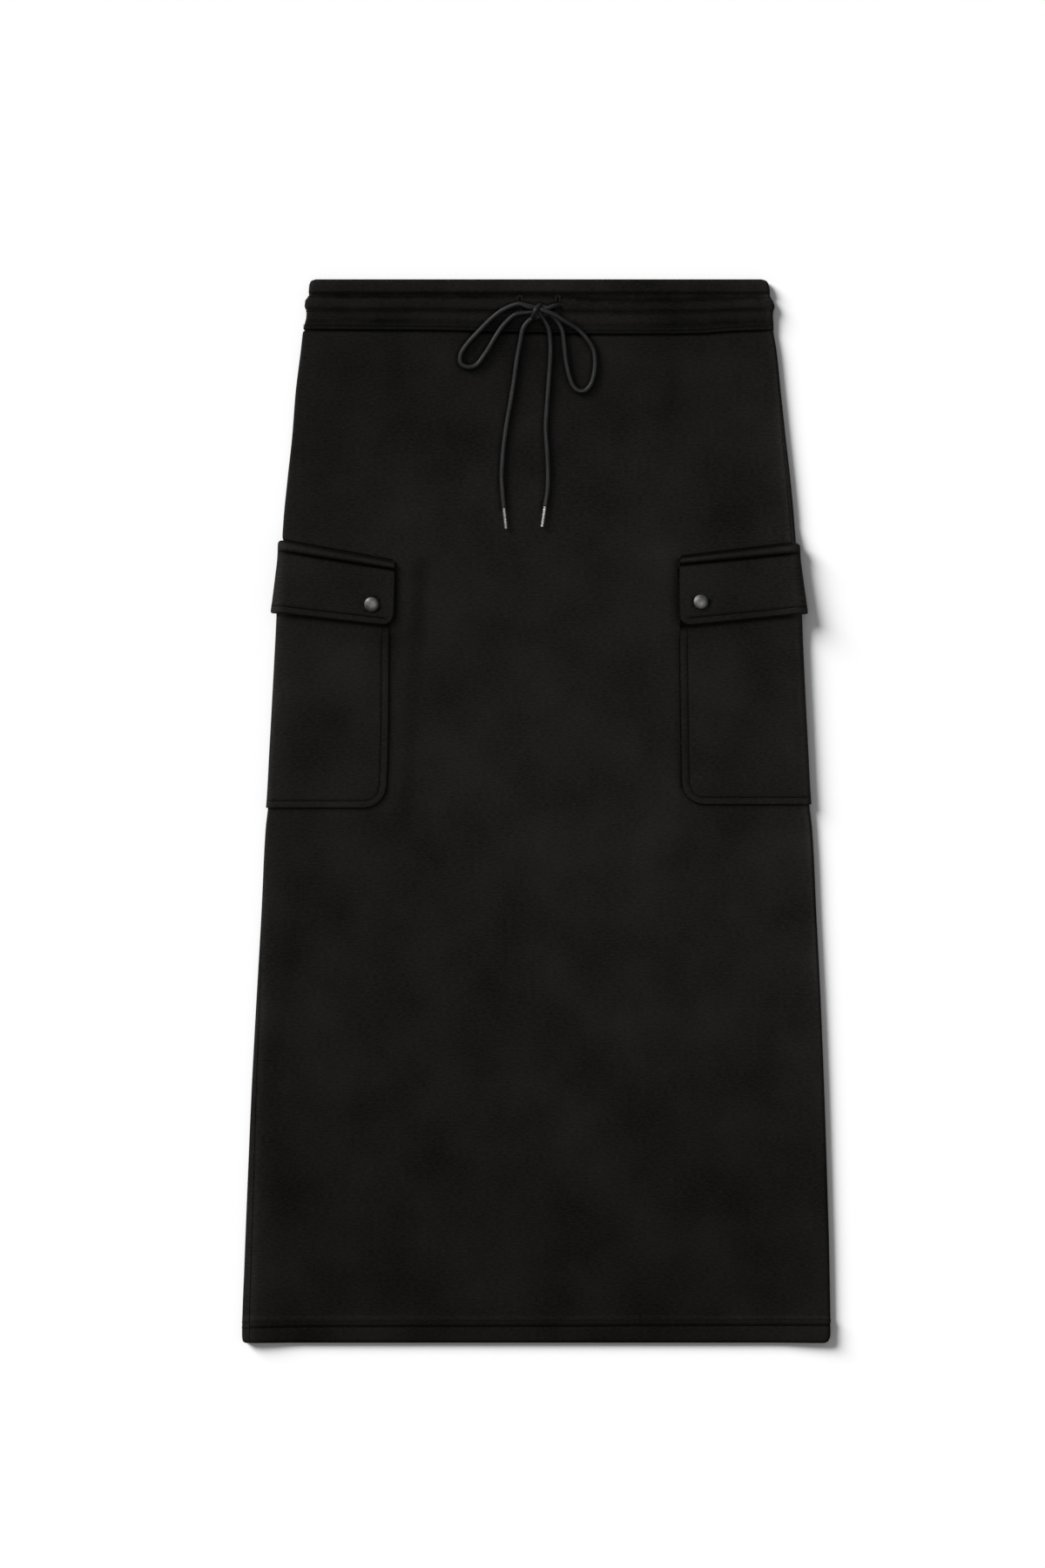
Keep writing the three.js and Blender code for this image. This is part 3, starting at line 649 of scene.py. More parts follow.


# Painted light that brightens the cloth towards each side fold, as glancing light would.
def fold_light(around, x):
    painted_light = np.where(x < 0, FOLD_PAINTED_LIGHT["left"], FOLD_PAINTED_LIGHT["right"])
    reach = np.abs(around)
    return painted_light * np.exp(-np.maximum(reach - FOLD_DEPTH, 0) / FOLD_PAINTED_LIGHT_REACH) + shade(reach, 4.2, FOLD_EDGE_PAINTED_LIGHT)

# %% [markdown]
# One half of a tube
#
# The front and back panels and the two halves of the waistband are all half tubes, from one side
# seam to the other. Columns of points lie close together at the folds and further apart in the
# middle, which is a straight blend between the two sides.

# %% Half tubes
def half_tube(shape, rows, columns, middle, face, dip_at):
    toward = 1 if face == "front" else -1
    row_grid = np.array(rows)[:, None]
    sides = []
    for side in ("left", "right"):
        column_grid = toward * np.array(columns) + 0 * row_grid
        at_seam = np.where(column_grid == 0, toward * SEAM_HALF_GAP, 0)
        sides.append(with_normals(shape, side, column_grid, row_grid + 0 * column_grid, at_seam))
    (left, left_normals, _), (right, right_normals, _) = sides
    right, right_normals = right[:, ::-1], right_normals[:, ::-1]
    share = (np.arange(1, middle) / middle)[None, :, None]
    start, end = left[:, -1:], right[:, :1]
    between = start + (end - start) * share
    if face == "front" and isinstance(shape, Body):
        at_ends = [gather_at(edge[..., 0], edge[..., 1]) for edge in (start, end)]
        carried = (1 - share[..., 0]) * at_ends[0] + share[..., 0] * at_ends[1]
        between[..., 2] += gather_at(between[..., 0], between[..., 1]) - carried
    up = np.zeros_like(between)
    up[..., 2] = toward
    points = np.concatenate([left, between, right], 1)
    normals = np.concatenate([left_normals, up, right_normals], 1)
    points[..., 1] -= read(BAND_DIPS, points[..., 0], "dip") * dip_at(row_grid)
    steps = np.linalg.norm(np.diff(points[..., [0, 2]], axis=1), axis=-1)
    length = np.concatenate([0 * row_grid, np.cumsum(steps, axis=1)], 1)
    length = length - length[:, -1:] / 2
    row = row_grid + 0 * length
    seam = np.minimum(length - length[:, :1], length[:, -1:] - length)
    return points, normals, np.stack([length, row], -1), seam, row

# %% [markdown]
# The black knit
#
# The cloth is a smooth double knit: matt, almost black, and a touch warm. Its base colour is very
# dark, its gloss is set low on the shader's own socket, and a little sheen stands for the fine hairs
# that catch light at a glancing angle, as along the side folds. A fine rib runs up the cloth, with
# a stitch every half millimetre, and a slow cloudy change of tone keeps large areas alive. The
# pattern reads the piece's own UV map, so it turns round the folds with the cloth. Little light
# reaches a stitched groove, a seam or the cloth beside the cord. Each piece carries an attribute
# for that, which paints shade into the base colour there, and paints light along the folds and on ridges.

# %% Knit finish
WALE = 0.00085
COURSE = 0.0006
SHADING_PAINT_STRENGTH = 0.97


def knit_material(name, dark, light):
    material, tree = new_material(
        name, Roughness=0.5, Specular_IOR_Level=0.005, Sheen_Weight=0.035, Sheen_Roughness=0.3,
    )
    place = node(tree, "ShaderNodeTexCoord").outputs
    parts = node(tree, "ShaderNodeSeparateXYZ", place["UV"]).outputs
    wale, course = (
        maths(tree, "COSINE", maths(tree, "MULTIPLY", part, 2 * pi / period))
        for part, period in zip(parts, (WALE, COURSE))
    )
    loops = maths(tree, "MULTIPLY_ADD", course, 0.35, wale)
    stretched = feed(tree, "ShaderNodeMapping", Vector=place["UV"], Scale=(0.4, 1.0, 1.0))
    grain = noise(tree, stretched, 640.0, 3.0, 0.7)
    cloud = maths(tree, "MULTIPLY", noise(tree, place["Object"], 14.0, 4.0), 0.45)
    color = toned(tree, maths(tree, "MULTIPLY_ADD", grain, 0.55, cloud), dark, light, 0.3, 0.7)
    # Painted shading: positive values paint shade into the base colour, negative ones paint light.
    painted_shading = node(tree, "ShaderNodeAttribute", attribute_name="painted_shading").outputs["Fac"]
    left = maths(tree, "MULTIPLY_ADD", painted_shading, -SHADING_PAINT_STRENGTH, 1.0)
    dress(
        tree,
        Base_Color=feed(tree, "ShaderNodeVectorMath", color, Scale=left, operation="SCALE"),
        Normal=raised(tree, grain, 0.25, 0.00015, raised(tree, loops, 0.12, 0.00006)),
    )
    return material


knit = knit_material("knit", (0.0015, 0.00138, 0.0013), (0.0078, 0.0072, 0.0068))

# %% [markdown]
# Where the pockets and flaps lie
#
# Pockets and flaps are sewn round the side folds. Their reach along the cloth, in front and behind,
# is read from one table, and a distance to their edge, negative outside it, is used by every layer:
# the edge of a pocket rounds over by it, and painted shade darkens the panel below by it.

# %% How far the pockets and flaps reach
REACHES = table("row pocket_left pocket_right flap_left flap_right", [
    (4, 103.9, 111.9, 102.4, 106.9), (28, 103.9, 111.5, 102.4, 106.9),
    (172, 98.9, 107.2, 102.4, 106.9), (231.5, 98.0, 106.5, 100.9, 103.2),
    (234.1, 98.0, 106.5, 99.4, 101.7),
])
BACK_REACH = {"pocket_left": 108.9, "pocket_right": 103.9, "flap_left": 110.5, "flap_right": 107.0}
POCKET_CORNER = 19
FLAP_CORNER = 11
POCKET_LOW = 4.0
FLAP_LOW = 172.0
CORE_COLUMNS = [0, 1, 2, 3, 4, 5, 6, 7, 8, 9.2, 10.5, 12.5, 15, 18, 22, 26, 31, 36, 42, 48, 54, 60]
EDGE_STEPS = [0, 0.08, 0.2, 0.4, 0.7, 1.1, 1.6, 2.3, 3.1, 4, 4.8, 5.4, 5.9, 6.4, 6.9, 7.5, 8.3]
EDGE_STEPS += [9.5, 11.5, 14, 17, 20, 24, 28, 33, 38]
EDGE_SPAN = 43.0


def wrapped_grid(side, kind, rows, radius):
    name = f"{kind}_{side}"
    row = np.array(rows)[:, None]
    inside = np.clip(radius - (row - row[0]), 0, radius)
    draw = radius - np.sqrt(radius**2 - inside**2)
    share = 1 - np.array(EDGE_STEPS) / EDGE_SPAN
    core = np.array(CORE_COLUMNS) + 0 * row
    last = core[:, -1:]
    ahead = last + share * (read(REACHES, row, name) - draw - last)
    behind = last + share * (BACK_REACH[name] - draw - last)
    column = np.concatenate([-behind, -core[:, :0:-1], core, ahead[:, ::-1]], 1)
    return column, row + 0 * column


def edge_of(side, kind, column, row, lowest, radius):
    name = f"{kind}_{side}"
    inward = np.where(column > 0, read(REACHES, row, name) - column, BACK_REACH[name] + column)
    above = row - lowest
    rounded = radius - np.hypot(radius - inward, radius - above)
    at_corner = (inward < radius) & (above < radius)
    return np.where(at_corner, rounded, np.minimum(inward, above))


# %% [markdown]
# The front and back panels
#
# The panels are the skirt itself. Their rows of points crowd together at the hem, where two rows of
# stitching press grooves into the turned-up cloth, and at the waistband seam, where the cloth rolls
# under. Their edges are rounded over, because cut and folded knit never has a sharp corner.

# %% Rows and columns of the panels
def spaced(*parts):
    values = []
    for start, end, step in parts:
        count = max(1, round((end - start) / step))
        values.extend(np.linspace(start, end, count, endpoint=False))
    return values


HEM_ROWS = [HEM_Y, -463.05, -462.8, -462.4, -461.9, -461.2, -460.3, -459.2, -457.8, -456.0]
FRONT_ROWS = HEM_ROWS + spaced((-454.5, -438, 0.8), (-438, -3, 8), (-3, 1.5, 1), (1.5, 6.5, 0.4))
FRONT_ROWS += spaced((6.5, 22, 1.6), (22, 166, 7), (166, 174, 1), (174, 230, 5), (230, 233, 1))
FRONT_ROWS += spaced((233, 237, 0.4), (237, 245, 1.6), (245, 262, 5), (262, 398, 2.5))
FRONT_ROWS += [398, 402, 406, 409, 411.5, 413.5, 415, 416.2, 417.1, 417.8, 418.3, 418.6, 418.8, 420.2]
BACK_ROWS = HEM_ROWS + spaced((-454.5, -438, 1.1), (-438, -22, 9), (-22, 252, 5), (252, 398, 9))
BACK_ROWS += [398, 404, 409, 412, 414.5, 416.2, 417.4, 418.2, 418.6, 418.8, 420.2]
NEAR_SEAM = [0, 0.12, 0.3, 0.6, 1.0, 1.6, 2.4, 3.2, 4, 5, 6, 7, 8, 9.2, 10.5]
FRONT_COLUMNS = NEAR_SEAM + spaced((12.5, 50, 3.4), (50, 90, 5), (90, 97, 1.8), (97, 112, 0.8))
FRONT_COLUMNS += spaced((112, 132.5, 3)) + [132.5]
BACK_COLUMNS = NEAR_SEAM + spaced((13, 50, 4), (50, 132.5, 6.5)) + [132.5]
HEM_STITCHES = table("x upper lower", [
    (-260, -445.2, -450.0), (-190, -444.6, -449.0), (0, -443.8, -448.6), (260, -442.6, -447.6),
])

# %% Painted shade beside the pockets and flaps
FLAP_TOP = 234.1
FLAP_SHADE = {"left": 2.8, "right": 5.0}
FLAP_DARK = {"left": 1.0, "right": 0.75}


def painted_shading_beside(x, y, row):
    painted_shading, marks = np.zeros_like(x), np.zeros_like(x)
    for side in ("left", "right"):
        around = Body().half_x(side, y) - SIGN[side] * x + FOLD_DEPTH * (ELLIPSE_QUARTER - 1)
        pocket = np.minimum(edge_of(side, "pocket", around, row, POCKET_LOW, POCKET_CORNER), 0)
        flap = np.minimum(edge_of(side, "flap", around, row, FLAP_LOW, FLAP_CORNER), 0)
        # Painted shade on the panel beside the pockets and flaps and above the flap tops, where their edges
        # shade it.
        painted_shading += (shade(pocket, 0.9, 0.9) + shade(pocket, 4.0, 0.25)) * (1 - ramp(row, 160, 172))
        painted_shading += shade(flap, FLAP_SHADE[side], FLAP_DARK[side]) * (1 - ramp(row, 232.5, 235))
        along = 1 - ramp(around - read(REACHES, row, f"flap_{side}"), -1.0, 1.5)
        above = row - FLAP_TOP - 0.1
        painted_shading += shade(above, 1.1, 0.95) * along * (row > 233)
        marks += crevice(above, 1.4, 1.1) * along
    return painted_shading, marks


# %% Panels
BAND_EDGE = 418.7


def panel(face):
    front = face == "front"
    rows, columns, middle, creases = (
        (FRONT_ROWS, FRONT_COLUMNS, 56, FRONT_CREASES) if front
        else (BACK_ROWS, BACK_COLUMNS, 30, BACK_CREASES)
    )
    points, normals, uv, seam, row = half_tube(
        Body(), rows, columns, middle, face, lambda r: ramp(r, 340, BAND_SEAM_Y)
    )
    x, y = points[..., 0], points[..., 1]
    marks, painted_shading = np.zeros_like(x), np.zeros_like(x)
    if front:
        lower = row - read(HEM_STITCHES, x, "lower")
        upper = row - read(HEM_STITCHES, x, "upper")
        marks += crevice(lower, 0.9, 0.7) + crevice(upper, 0.7, 0.12) + shade(lower - 3, 1.6, 0.3)
        marks = marks * ramp(normals[..., 2], -0.6, 0.3)
        painted_shading, pressed = painted_shading_beside(x, y, row)
        marks += pressed - 0.5 * rim(BAND_EDGE - row, 3.2)
        # Painted shade in the hem grooves, along the waistband seam, at the hem edge and beside the cord;
        # then painted shade at the side seams and painted light along the folds.
        painted_shading += shade(lower, 0.9, 0.65) + shade(upper, 0.7, 0.12)
        painted_shading += shade(BAND_EDGE - row, 1.6, 0.9) + shade(row - HEM_Y, 1.2, 0.5) + cord_shade(points)
    painted_shading += shade(seam, 0.8, 0.7) * ramp(row, -456, -446) - fold_light(seam, x)
    lip = rim(seam, 0.4) + rim(row - HEM_Y, 0.8)
    wall = cloth_at(row) - 0.7 * at_hem_edge(row)
    soft = crease_at(creases, x, y) * ramp(seam, 2, 16) * front
    piece, outer = wall_piece(
        f"{face}_cloth", points, normals, soft + marks - lip, soft + np.minimum(lip, 0.5) - wall, uv, painted_shading
    )
    return piece, (outer, normals, row, x)


front_cloth, front_grid = panel("front")
back_cloth, back_grid = panel("back")
PANEL_SHEET = {"flat": (0.522, 0.886), "held": "laid", "area": 0.4176}
piece_done(front_cloth, "knit", ["front_panel"], rests_on=["back_cloth"], **PANEL_SHEET)
piece_done(back_cloth, "knit", ["back_panel"], **PANEL_SHEET)

# %% [markdown]
# The waistband
#
# The waistband is a folded strip of the same knit over elastic. Its top is a roll, below it runs the
# raised channel of the drawcord between two sewn grooves, and its lower edge is sewn down. The
# elastic draws it up a little unevenly, so a gentle ripple runs along it.

# %% The waistband's section
BAND_ROWS = table("y top under left right", [
    (419.2, 5.2, 0.0, 0.0, 0.3), (421.8, 5.2, 0.0, -0.2, 0.5), (425.0, 5.5, 0.0, -0.8, 0.8),
    (429.8, 6.5, 0.0, -1.6, 0.7), (435.4, 6.5, 0.0, -1.2, 1.3), (439.8, 7.4, 0.0, 0.8, 2.9),
    (444.2, 7.6, 0.0, 0.8, 1.8), (447.6, 6.2, 0.0, -1.2, -0.1), (449.4, 5.8, 0.0, -2.0, -0.7),
    (452.6, 7.4, 0.0, -1.5, -0.5), (457.4, 7.6, 0.0, -1.4, -1.0), (461.4, 6.6, 0.2, -2.4, -2.6),
    (463.2, 5.2, 0.9, -5.4, -6.0),
])


class Band:
    def fold_depth(self, row):
        return (read(BAND_ROWS, row, "top") - read(BAND_ROWS, row, "under")) / 2

    def half_x(self, side, y):
        return np.abs(read(OUTLINE, y, side)) + read(BAND_ROWS, y, side)

    def levels(self, side, inward, row, x, y):
        none = 0 * inward
        return read(BAND_ROWS, row, "under") + none, read(BAND_ROWS, row, "top") + none

    def line_y(self, side, row):
        return row

    def fall(self, side, row):
        return 0 * row


BAND_FINE_ROWS = [419.2, 419.35, 419.6, 420.0] + spaced((420.3, 426, 0.35), (426, 432, 0.8))
BAND_FINE_ROWS += spaced((432, 440, 0.5), (440, 444, 0.8), (444, 452.4, 0.4), (452.4, 461.4, 0.9))
BAND_FINE_ROWS += [461.4, 461.9, 462.3, 462.6, 462.85, 463.05, 463.15, 463.2]
BAND_COLUMNS = NEAR_SEAM + [12.5, 15, 17.5] + spaced((20, 92, 2.6)) + [92]
BAND_CREASES = table("x0 y0 x1 y1 width height", [
    (-196, 431, -150, 428, 2.6, -0.5), (-158, 425, -96, 433, 3.0, 0.5), (-137, 430, -128, 419, 1.8, -0.7),
    (-118, 436, -84, 431, 2.2, -0.4), (-190, 443, -120, 446, 3.0, -0.4), (60, 430, 108, 432, 2.6, -0.4),
    (110, 427, 180, 431, 3.0, 0.4), (130, 444, 196, 446, 2.6, -0.5), (150, 425, 190, 421, 2.0, -0.4),
])
RIPPLE_SEED = 7


def ripple(x, longest, seed):
    phases = np.random.default_rng(seed).uniform(0, 2 * pi, 6)
    total = np.zeros_like(x)
    for i, phase in enumerate(phases):
        total += np.sin(x * 2 * pi / (longest / (1 + 0.62 * i)) + phase) / (1 + 0.5 * i)
    return total / 2.2


# %% Waistband halves
BAND_LINES = table("x upper lower cover_upper cover_lower", [
    (-205, 448.4, 435.4, 424.2, 420.4), (-60, 448.6, 436.2, 424.0, 420.4),
    (0, 449.4, 437.6, 423.0, 420.3), (35, 448.6, 438.6, 423.2, 420.3), (70, 447.4, 439.2, 423.5, 420.3),
    (115, 447.2, 439.0, 423.4, 420.3), (160, 447.5, 438.0, 424.0, 420.4), (205, 447.4, 436.0, 424.9, 420.6),
])
COVER_ROWS = ("cover_upper", "cover_lower")
BAND_LOW = 419.2
BAND_TOP = 463.2


def waistband(face):
    points, normals, uv, seam, row = half_tube(
        Band(), BAND_FINE_ROWS, BAND_COLUMNS, 74, face, lambda r: 1 - ramp(r, 440, 452)
    )
    x = points[..., 0]
    # Painted shading: shade at the side seams, in the sewn grooves and cover rows, at the lower edge, beside
    # the cord and towards the channel's ends; light along the folds, the channel's middle and the roll's
    # middle.
    painted_shading = shade(seam, 0.7, 0.5) - fold_light(seam, x)
    marks = np.zeros_like(x)
    if face == "front":
        near_end = ramp(seam, 0, 14)
        wave = ripple(x, 41, RIPPLE_SEED) * near_end
        upper = row - read(BAND_LINES, x, "upper") - 0.5 * wave
        lower = row - read(BAND_LINES, x, "lower") - 0.3 * wave
        deep = ramp(seam, 3, 12) * (1 + 0.25 * ripple(x, 90, RIPPLE_SEED + 2))
        marks += (crevice(upper, 1.9, 1.3) + crevice(lower, 2.2, 0.7)) * deep
        painted_shading += (shade(upper + 0.8, 1.9, 0.6) + shade(lower + 0.4, 2.2, 0.4)) * deep
        marks += crease_at(BAND_CREASES, x, points[..., 1])
        for name in COVER_ROWS:
            line = row - read(BAND_LINES, x, name)
            marks += crevice(line, 0.8, 0.3)
            painted_shading += shade(line + 1.2, 0.8, 0.5)
        marks += 0.16 * wave * ramp(row, 420, 428) + 0.14 * ripple(x, 17, RIPPLE_SEED + 1) * near_end
        marks -= 0.5 * rim(row - BAND_LOW, 1.6)
        painted_shading += shade(row - BAND_LOW, 0.7, 0.9) + cord_shade(points)
        painted_shading += shade(row - 430, 7, 0.3) * ramp(np.abs(x), 70, 130) - shade(row - 433, 4, 0.15)
        painted_shading -= shade(row - 456, 5, 0.35) * shade(x, 110, 1)
    lip = rim(seam, 0.8) + rim(BAND_TOP - row, 1.7)
    wall = Band().fold_depth(row) - GAP / 2
    piece, outer = wall_piece(
        f"waistband_{face}_cloth", points, normals, marks - lip, np.minimum(lip, 0.4) - wall, uv, painted_shading
    )
    return piece, (outer, normals, row, x)


band_front, band_grid = waistband("front")
band_back = waistband("back")[0]

# %% Buttonholes
SLOTS = {"left": (-14.1, 440.8), "right": (19.0, 440.8)}
SLOT_HALF_WIDTH = 1.0
SLOT_HALF_HEIGHT = 6.7
SLOT_LEAD_RADIUS = 2.5


def slot_outline(x, y):
    turn = np.linspace(0, pi, 17)
    angle = np.concatenate([turn + pi, turn])
    reach = np.repeat([-1, 1], 17) * (SLOT_HALF_HEIGHT - SLOT_HALF_WIDTH)
    return np.column_stack([x + np.cos(angle) * SLOT_HALF_WIDTH, y + np.sin(angle) * SLOT_HALF_WIDTH + reach])


def cut(piece, outline, low, high):
    count = len(outline)
    points = np.vstack([np.column_stack([outline, np.full(count, z)]) for z in (low, high)])
    faces = [list(range(count))[::-1], list(range(count, 2 * count))]
    faces += [[i, (i + 1) % count, (i + 1) % count + count, i + count] for i in range(count)]
    cutter = make_piece("cutter", points, faces, knit)
    change = piece.modifiers.new("cut", "BOOLEAN")
    change.operation = "DIFFERENCE"
    change.solver = "EXACT"
    change.object = cutter
    keep_result(piece, change)
    bpy.data.objects.remove(cutter)


for x, y in SLOTS.values():
    cut(band_front, slot_outline(x, y), 1.0, 15.0)
    angle = np.linspace(0, 2 * pi, 24, endpoint=False)
    opening = np.column_stack([np.cos(angle), np.sin(angle)]) * SLOT_LEAD_RADIUS + (x, y - 0.3)
    cut(band_front, opening, 4.2, 15.0)
print("waistband with buttonholes:", len(band_front.data.polygons), "faces")
BAND_SHEET = {"flat": (0.414, 0.046), "held": "laid"}
piece_done(band_front, "knit", ["waistband_front"], rests_on=["waistband_back_cloth"], **BAND_SHEET)
piece_done(band_back, "knit", ["waistband_back"], **BAND_SHEET)

# %% [markdown]
# The cargo pockets
#
# Each pocket is one flat piece with rounded lower corners, sewn round the side fold, half of it on
# the front and half at the back. Its seam allowance is turned in, so a narrow rim stands up between
# the edge and the topstitching, which presses a groove. The middle is a little puffed, with the
# one diagonal crease that the photograph shows on the left pocket.

# %% Pockets
POCKET_STITCH = 6.4
POCKET_ROWS = [POCKET_LOW + step for step in EDGE_STEPS[:-6]] + spaced((19, 60, 3.4), (60, 162, 4.6))
POCKET_ROWS += spaced((162, 173, 0.9), (173, 221.5, 6)) + [221.5]
POCKET_CREASES = {
    "left": table("x0 y0 x1 y1 width height", [
        (-148, 160, -204, 108, 9, -0.75), (-178, 150, -222, 148, 6, -0.4),
        (-160, 92, -190, 30, 10, -0.35),
    ]),
    "right": table("x0 y0 x1 y1 width height", [
        (150, 150, 196, 96, 12, -0.4), (176, 70, 214, 20, 12, -0.35),
    ]),
}
POCKET_PUFF = 0.9


def pocket_faces(side, column, row):
    points, normals, around = with_normals(Body(), side, column, row)
    edge = edge_of(side, "pocket", column, row, POCKET_LOW, POCKET_CORNER)
    on_front = ramp(around, 3, 14)
    puff = POCKET_PUFF + crease_at(POCKET_CREASES[side], points[..., 0], points[..., 1])
    puff = puff * ramp(edge, 5.5, 26) * on_front * (1 - ramp(row, 128, 166))
    stitch = edge - POCKET_STITCH
    open_cloth = ramp(around, -2, 6) * (1 - ramp(row, 150, 168))
    marks = (crevice(stitch, 0.9, 0.5) + shade(edge - 3.0, 1.8, 0.12)) * open_cloth
    outer = PLY + puff + marks - rim(edge, 0.75)
    # Painted shade in the stitching groove, at the edge and under the flap's edge, with painted light along
    # the fold.
    painted_shading = shade(stitch, 0.8, 0.45) * open_cloth + shade(edge, 0.5, 0.8)
    painted_shading = painted_shading + shade(np.minimum(row - FLAP_LOW, 0), 3.4, 1.0) * on_front
    painted_shading = painted_shading - fold_light(around, points[..., 0])
    return points, normals, outer, np.minimum(GAP + puff, outer - 0.5), np.stack([around, row], -1), painted_shading


for side in ("left", "right"):
    grid = wrapped_grid(side, "pocket", POCKET_ROWS, POCKET_CORNER)
    piece = wall_piece(f"pocket_{side}_cloth", *pocket_faces(side, *grid))[0]
    piece_done(piece, "knit", [f"pocket_{side}"], flat=(0.217, 0.218), held="laid",
               rests_on=["front_cloth", "back_cloth"], area=0.0458)

# %% [markdown]
# The flaps
#
# A flap is thicker than the pocket, because it is two layers turned out. Where it is sewn on,
# it rolls over its own seam into a round welt with a groove below. Its free edge stands off the
# pocket a little and throws a dark line, which painted shadow on the pocket deepens. Round the snap
# the layers are pressed together, so the cloth dips in a ring, darkened by a painted ring of shade.

# %% Flaps
FLAP_ROWS = table("row inner outer flare", [
    (172, 2.9, 4.0, 3.6), (173.5, 2.5, 4.4, 3.5), (177.5, 2.2, 3.9, 3.2), (183, 2.1, 3.6, 2.7),
    (205, 2.1, 3.7, 1.0), (221.8, 2.1, 3.6, 0), (224.6, 0.4, 3.2, 0), (226.2, 0.3, 4.3, 0),
    (229, 0.3, 4.9, 0), (231, 0.3, 4.6, 0), (232.3, 0.3, 3.6, 0), (233.1, 0.2, 2.2, 0),
    (233.7, -0.2, 0.9, 0), (FLAP_TOP, -0.7, -0.1, 0),
])
SNAPS = {"left": (-143.3, 179.7), "right": (143.3, 182.0)}
FLAP_STITCH = 6.3
FLARE_REACH = 26
WELT_LINE = 224.6
WELT_CREST = 229.0
FLAP_FINE_ROWS = [FLAP_LOW + step for step in EDGE_STEPS[:-6]] + spaced((186, 218, 2.6))
FLAP_FINE_ROWS += spaced((218, 222, 0.8), (222, 233.1, 0.35), (233.1, FLAP_TOP, 0.2)) + [FLAP_TOP]


def flap_faces(side, column, row):
    points, normals, around = with_normals(Body(), side, column, row)
    edge = edge_of(side, "flap", column, row, FLAP_LOW, FLAP_CORNER)
    front = ramp(around, -1, 8)
    at_fold = ramp(around, -4.2, -0.6) * (1 - ramp(around, 0, FLARE_REACH))
    full_inner, full_outer, flare = (
        read(FLAP_ROWS, row, name) for name in ("inner", "outer", "flare")
    )
    flare = (flare - 0.6 * rim(row - FLAP_LOW, 2.4)) * at_fold
    pressed_outer = 2 * PLY - rim(FLAP_TOP - row, 3.0)
    pressed_inner = np.minimum(full_inner, PLY + GAP)
    outer = pressed_outer + (full_outer - pressed_outer) * front + flare
    inner = pressed_inner + (full_inner - pressed_inner) * front + flare
    stitch = row - FLAP_LOW - FLAP_STITCH
    welt = row - WELT_LINE
    sewn = ramp(edge, 2, 8) * (1 - ramp(row, 214, 220))
    away = np.hypot(points[..., 0] - SNAPS[side][0], points[..., 1] - SNAPS[side][1])
    marks = (crevice(stitch, 1.2, 0.85) + shade(edge - 2.8, 1.7, 0.3)) * sewn + crevice(welt, 1.3, 0.9)
    marks = marks - shade(away - 6.6, 2.0, 0.5) * front
    outer = outer + marks * front - rim(edge, 0.9) * (0.35 + 0.65 * front)
    # Painted shade in the stitching groove, the welt's groove, at the edges, at the top seam and round the
    # snap; painted light on the welt's crest and along the fold.
    painted_shading = shade(stitch, 1.0, 0.75) * sewn + shade(welt, 1.7, 0.95) + shade(edge, 0.6, 0.8)
    painted_shading = painted_shading - shade(row - WELT_CREST, 1.9, 0.4) + shade(row - FLAP_TOP, 1.5, 1.2)
    painted_shading = painted_shading + shade(away - 7.0, 0.7, 0.95) - fold_light(around, points[..., 0])
    return points, normals, outer, np.minimum(inner, outer - 0.6), np.stack([around, row], -1), painted_shading


for side in ("left", "right"):
    grid = wrapped_grid(side, "flap", FLAP_FINE_ROWS, FLAP_CORNER)
    piece = wall_piece(f"flap_{side}_cloth", *flap_faces(side, *grid))[0]
    piece_done(piece, "knit", [f"flap_{side}"], flat=(0.213, 0.068), held="laid",
               rests_on=[f"pocket_{side}_cloth"], area=0.0129)

# %% [markdown]
# The snaps
#
# The cap of each fastened snap is a small pressed disc of plated metal, a low smooth dome whose edge
# turns down to the cloth. It is a turned shape, so its profile says everything. It tilts a little
# with the layers of the flap that it holds.

# %% Snap caps
SNAP_PROFILE = [
    (0, 0), (5.9, 0), (6.3, 0.12), (6.45, 0.4), (6.35, 0.68), (6.1, 0.92), (5.6, 1.26), (5.0, 1.56),
    (4.2, 1.86), (3.3, 2.1), (2.3, 2.27), (1.2, 2.36), (0, 2.4),
]
SNAP_TILT = {"left": (3.0, -5.0), "right": (-6.0, -2.0)}
for side, (x, y) in SNAPS.items():
    points, faces = turned_grid(SNAP_PROFILE, 64)
    tilt_x, tilt_y = (radians(angle) for angle in SNAP_TILT[side])
    points[:, 2] += points[:, 1] * sin(tilt_x) - points[:, 0] * sin(tilt_y)
    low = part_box(f"snap_{side}")[0].z / MM
    snap = make_piece(f"snap_{side}_cap", points + (x, y, low), faces, plating)
    piece_done(snap, "gunmetal", [f"snap_{side}"])

# %% [markdown]
# Stitches with Geometry Nodes
#
# Sewing repeats one small shape along a line, which is what Geometry Nodes do best. The tree turns
# a line of points into a curve, sets points along it at the stitch spacing, and puts one short bent
# thread on each, turned to the line and standing on the cloth. A named attribute, up, carries the
# cloth's own direction to each stitch. A small seeded turn keeps the row from looking printed.

# %% The tree for a row of stitches
STITCH_BEND = {
    "Start": (-0.5, 0.0), "Start_Handle": (-0.3, 1.3), "End_Handle": (0.3, 1.3), "End": (0.5, 0.0),
}
STITCH_SIZES = {
    "Spacing": 0.003, "Length": 0.0024, "Thread": 0.0002, "Rise": 0.0002, "Turn": 0.0, "Waver": 0.06,
}
STITCH_SEED = 11


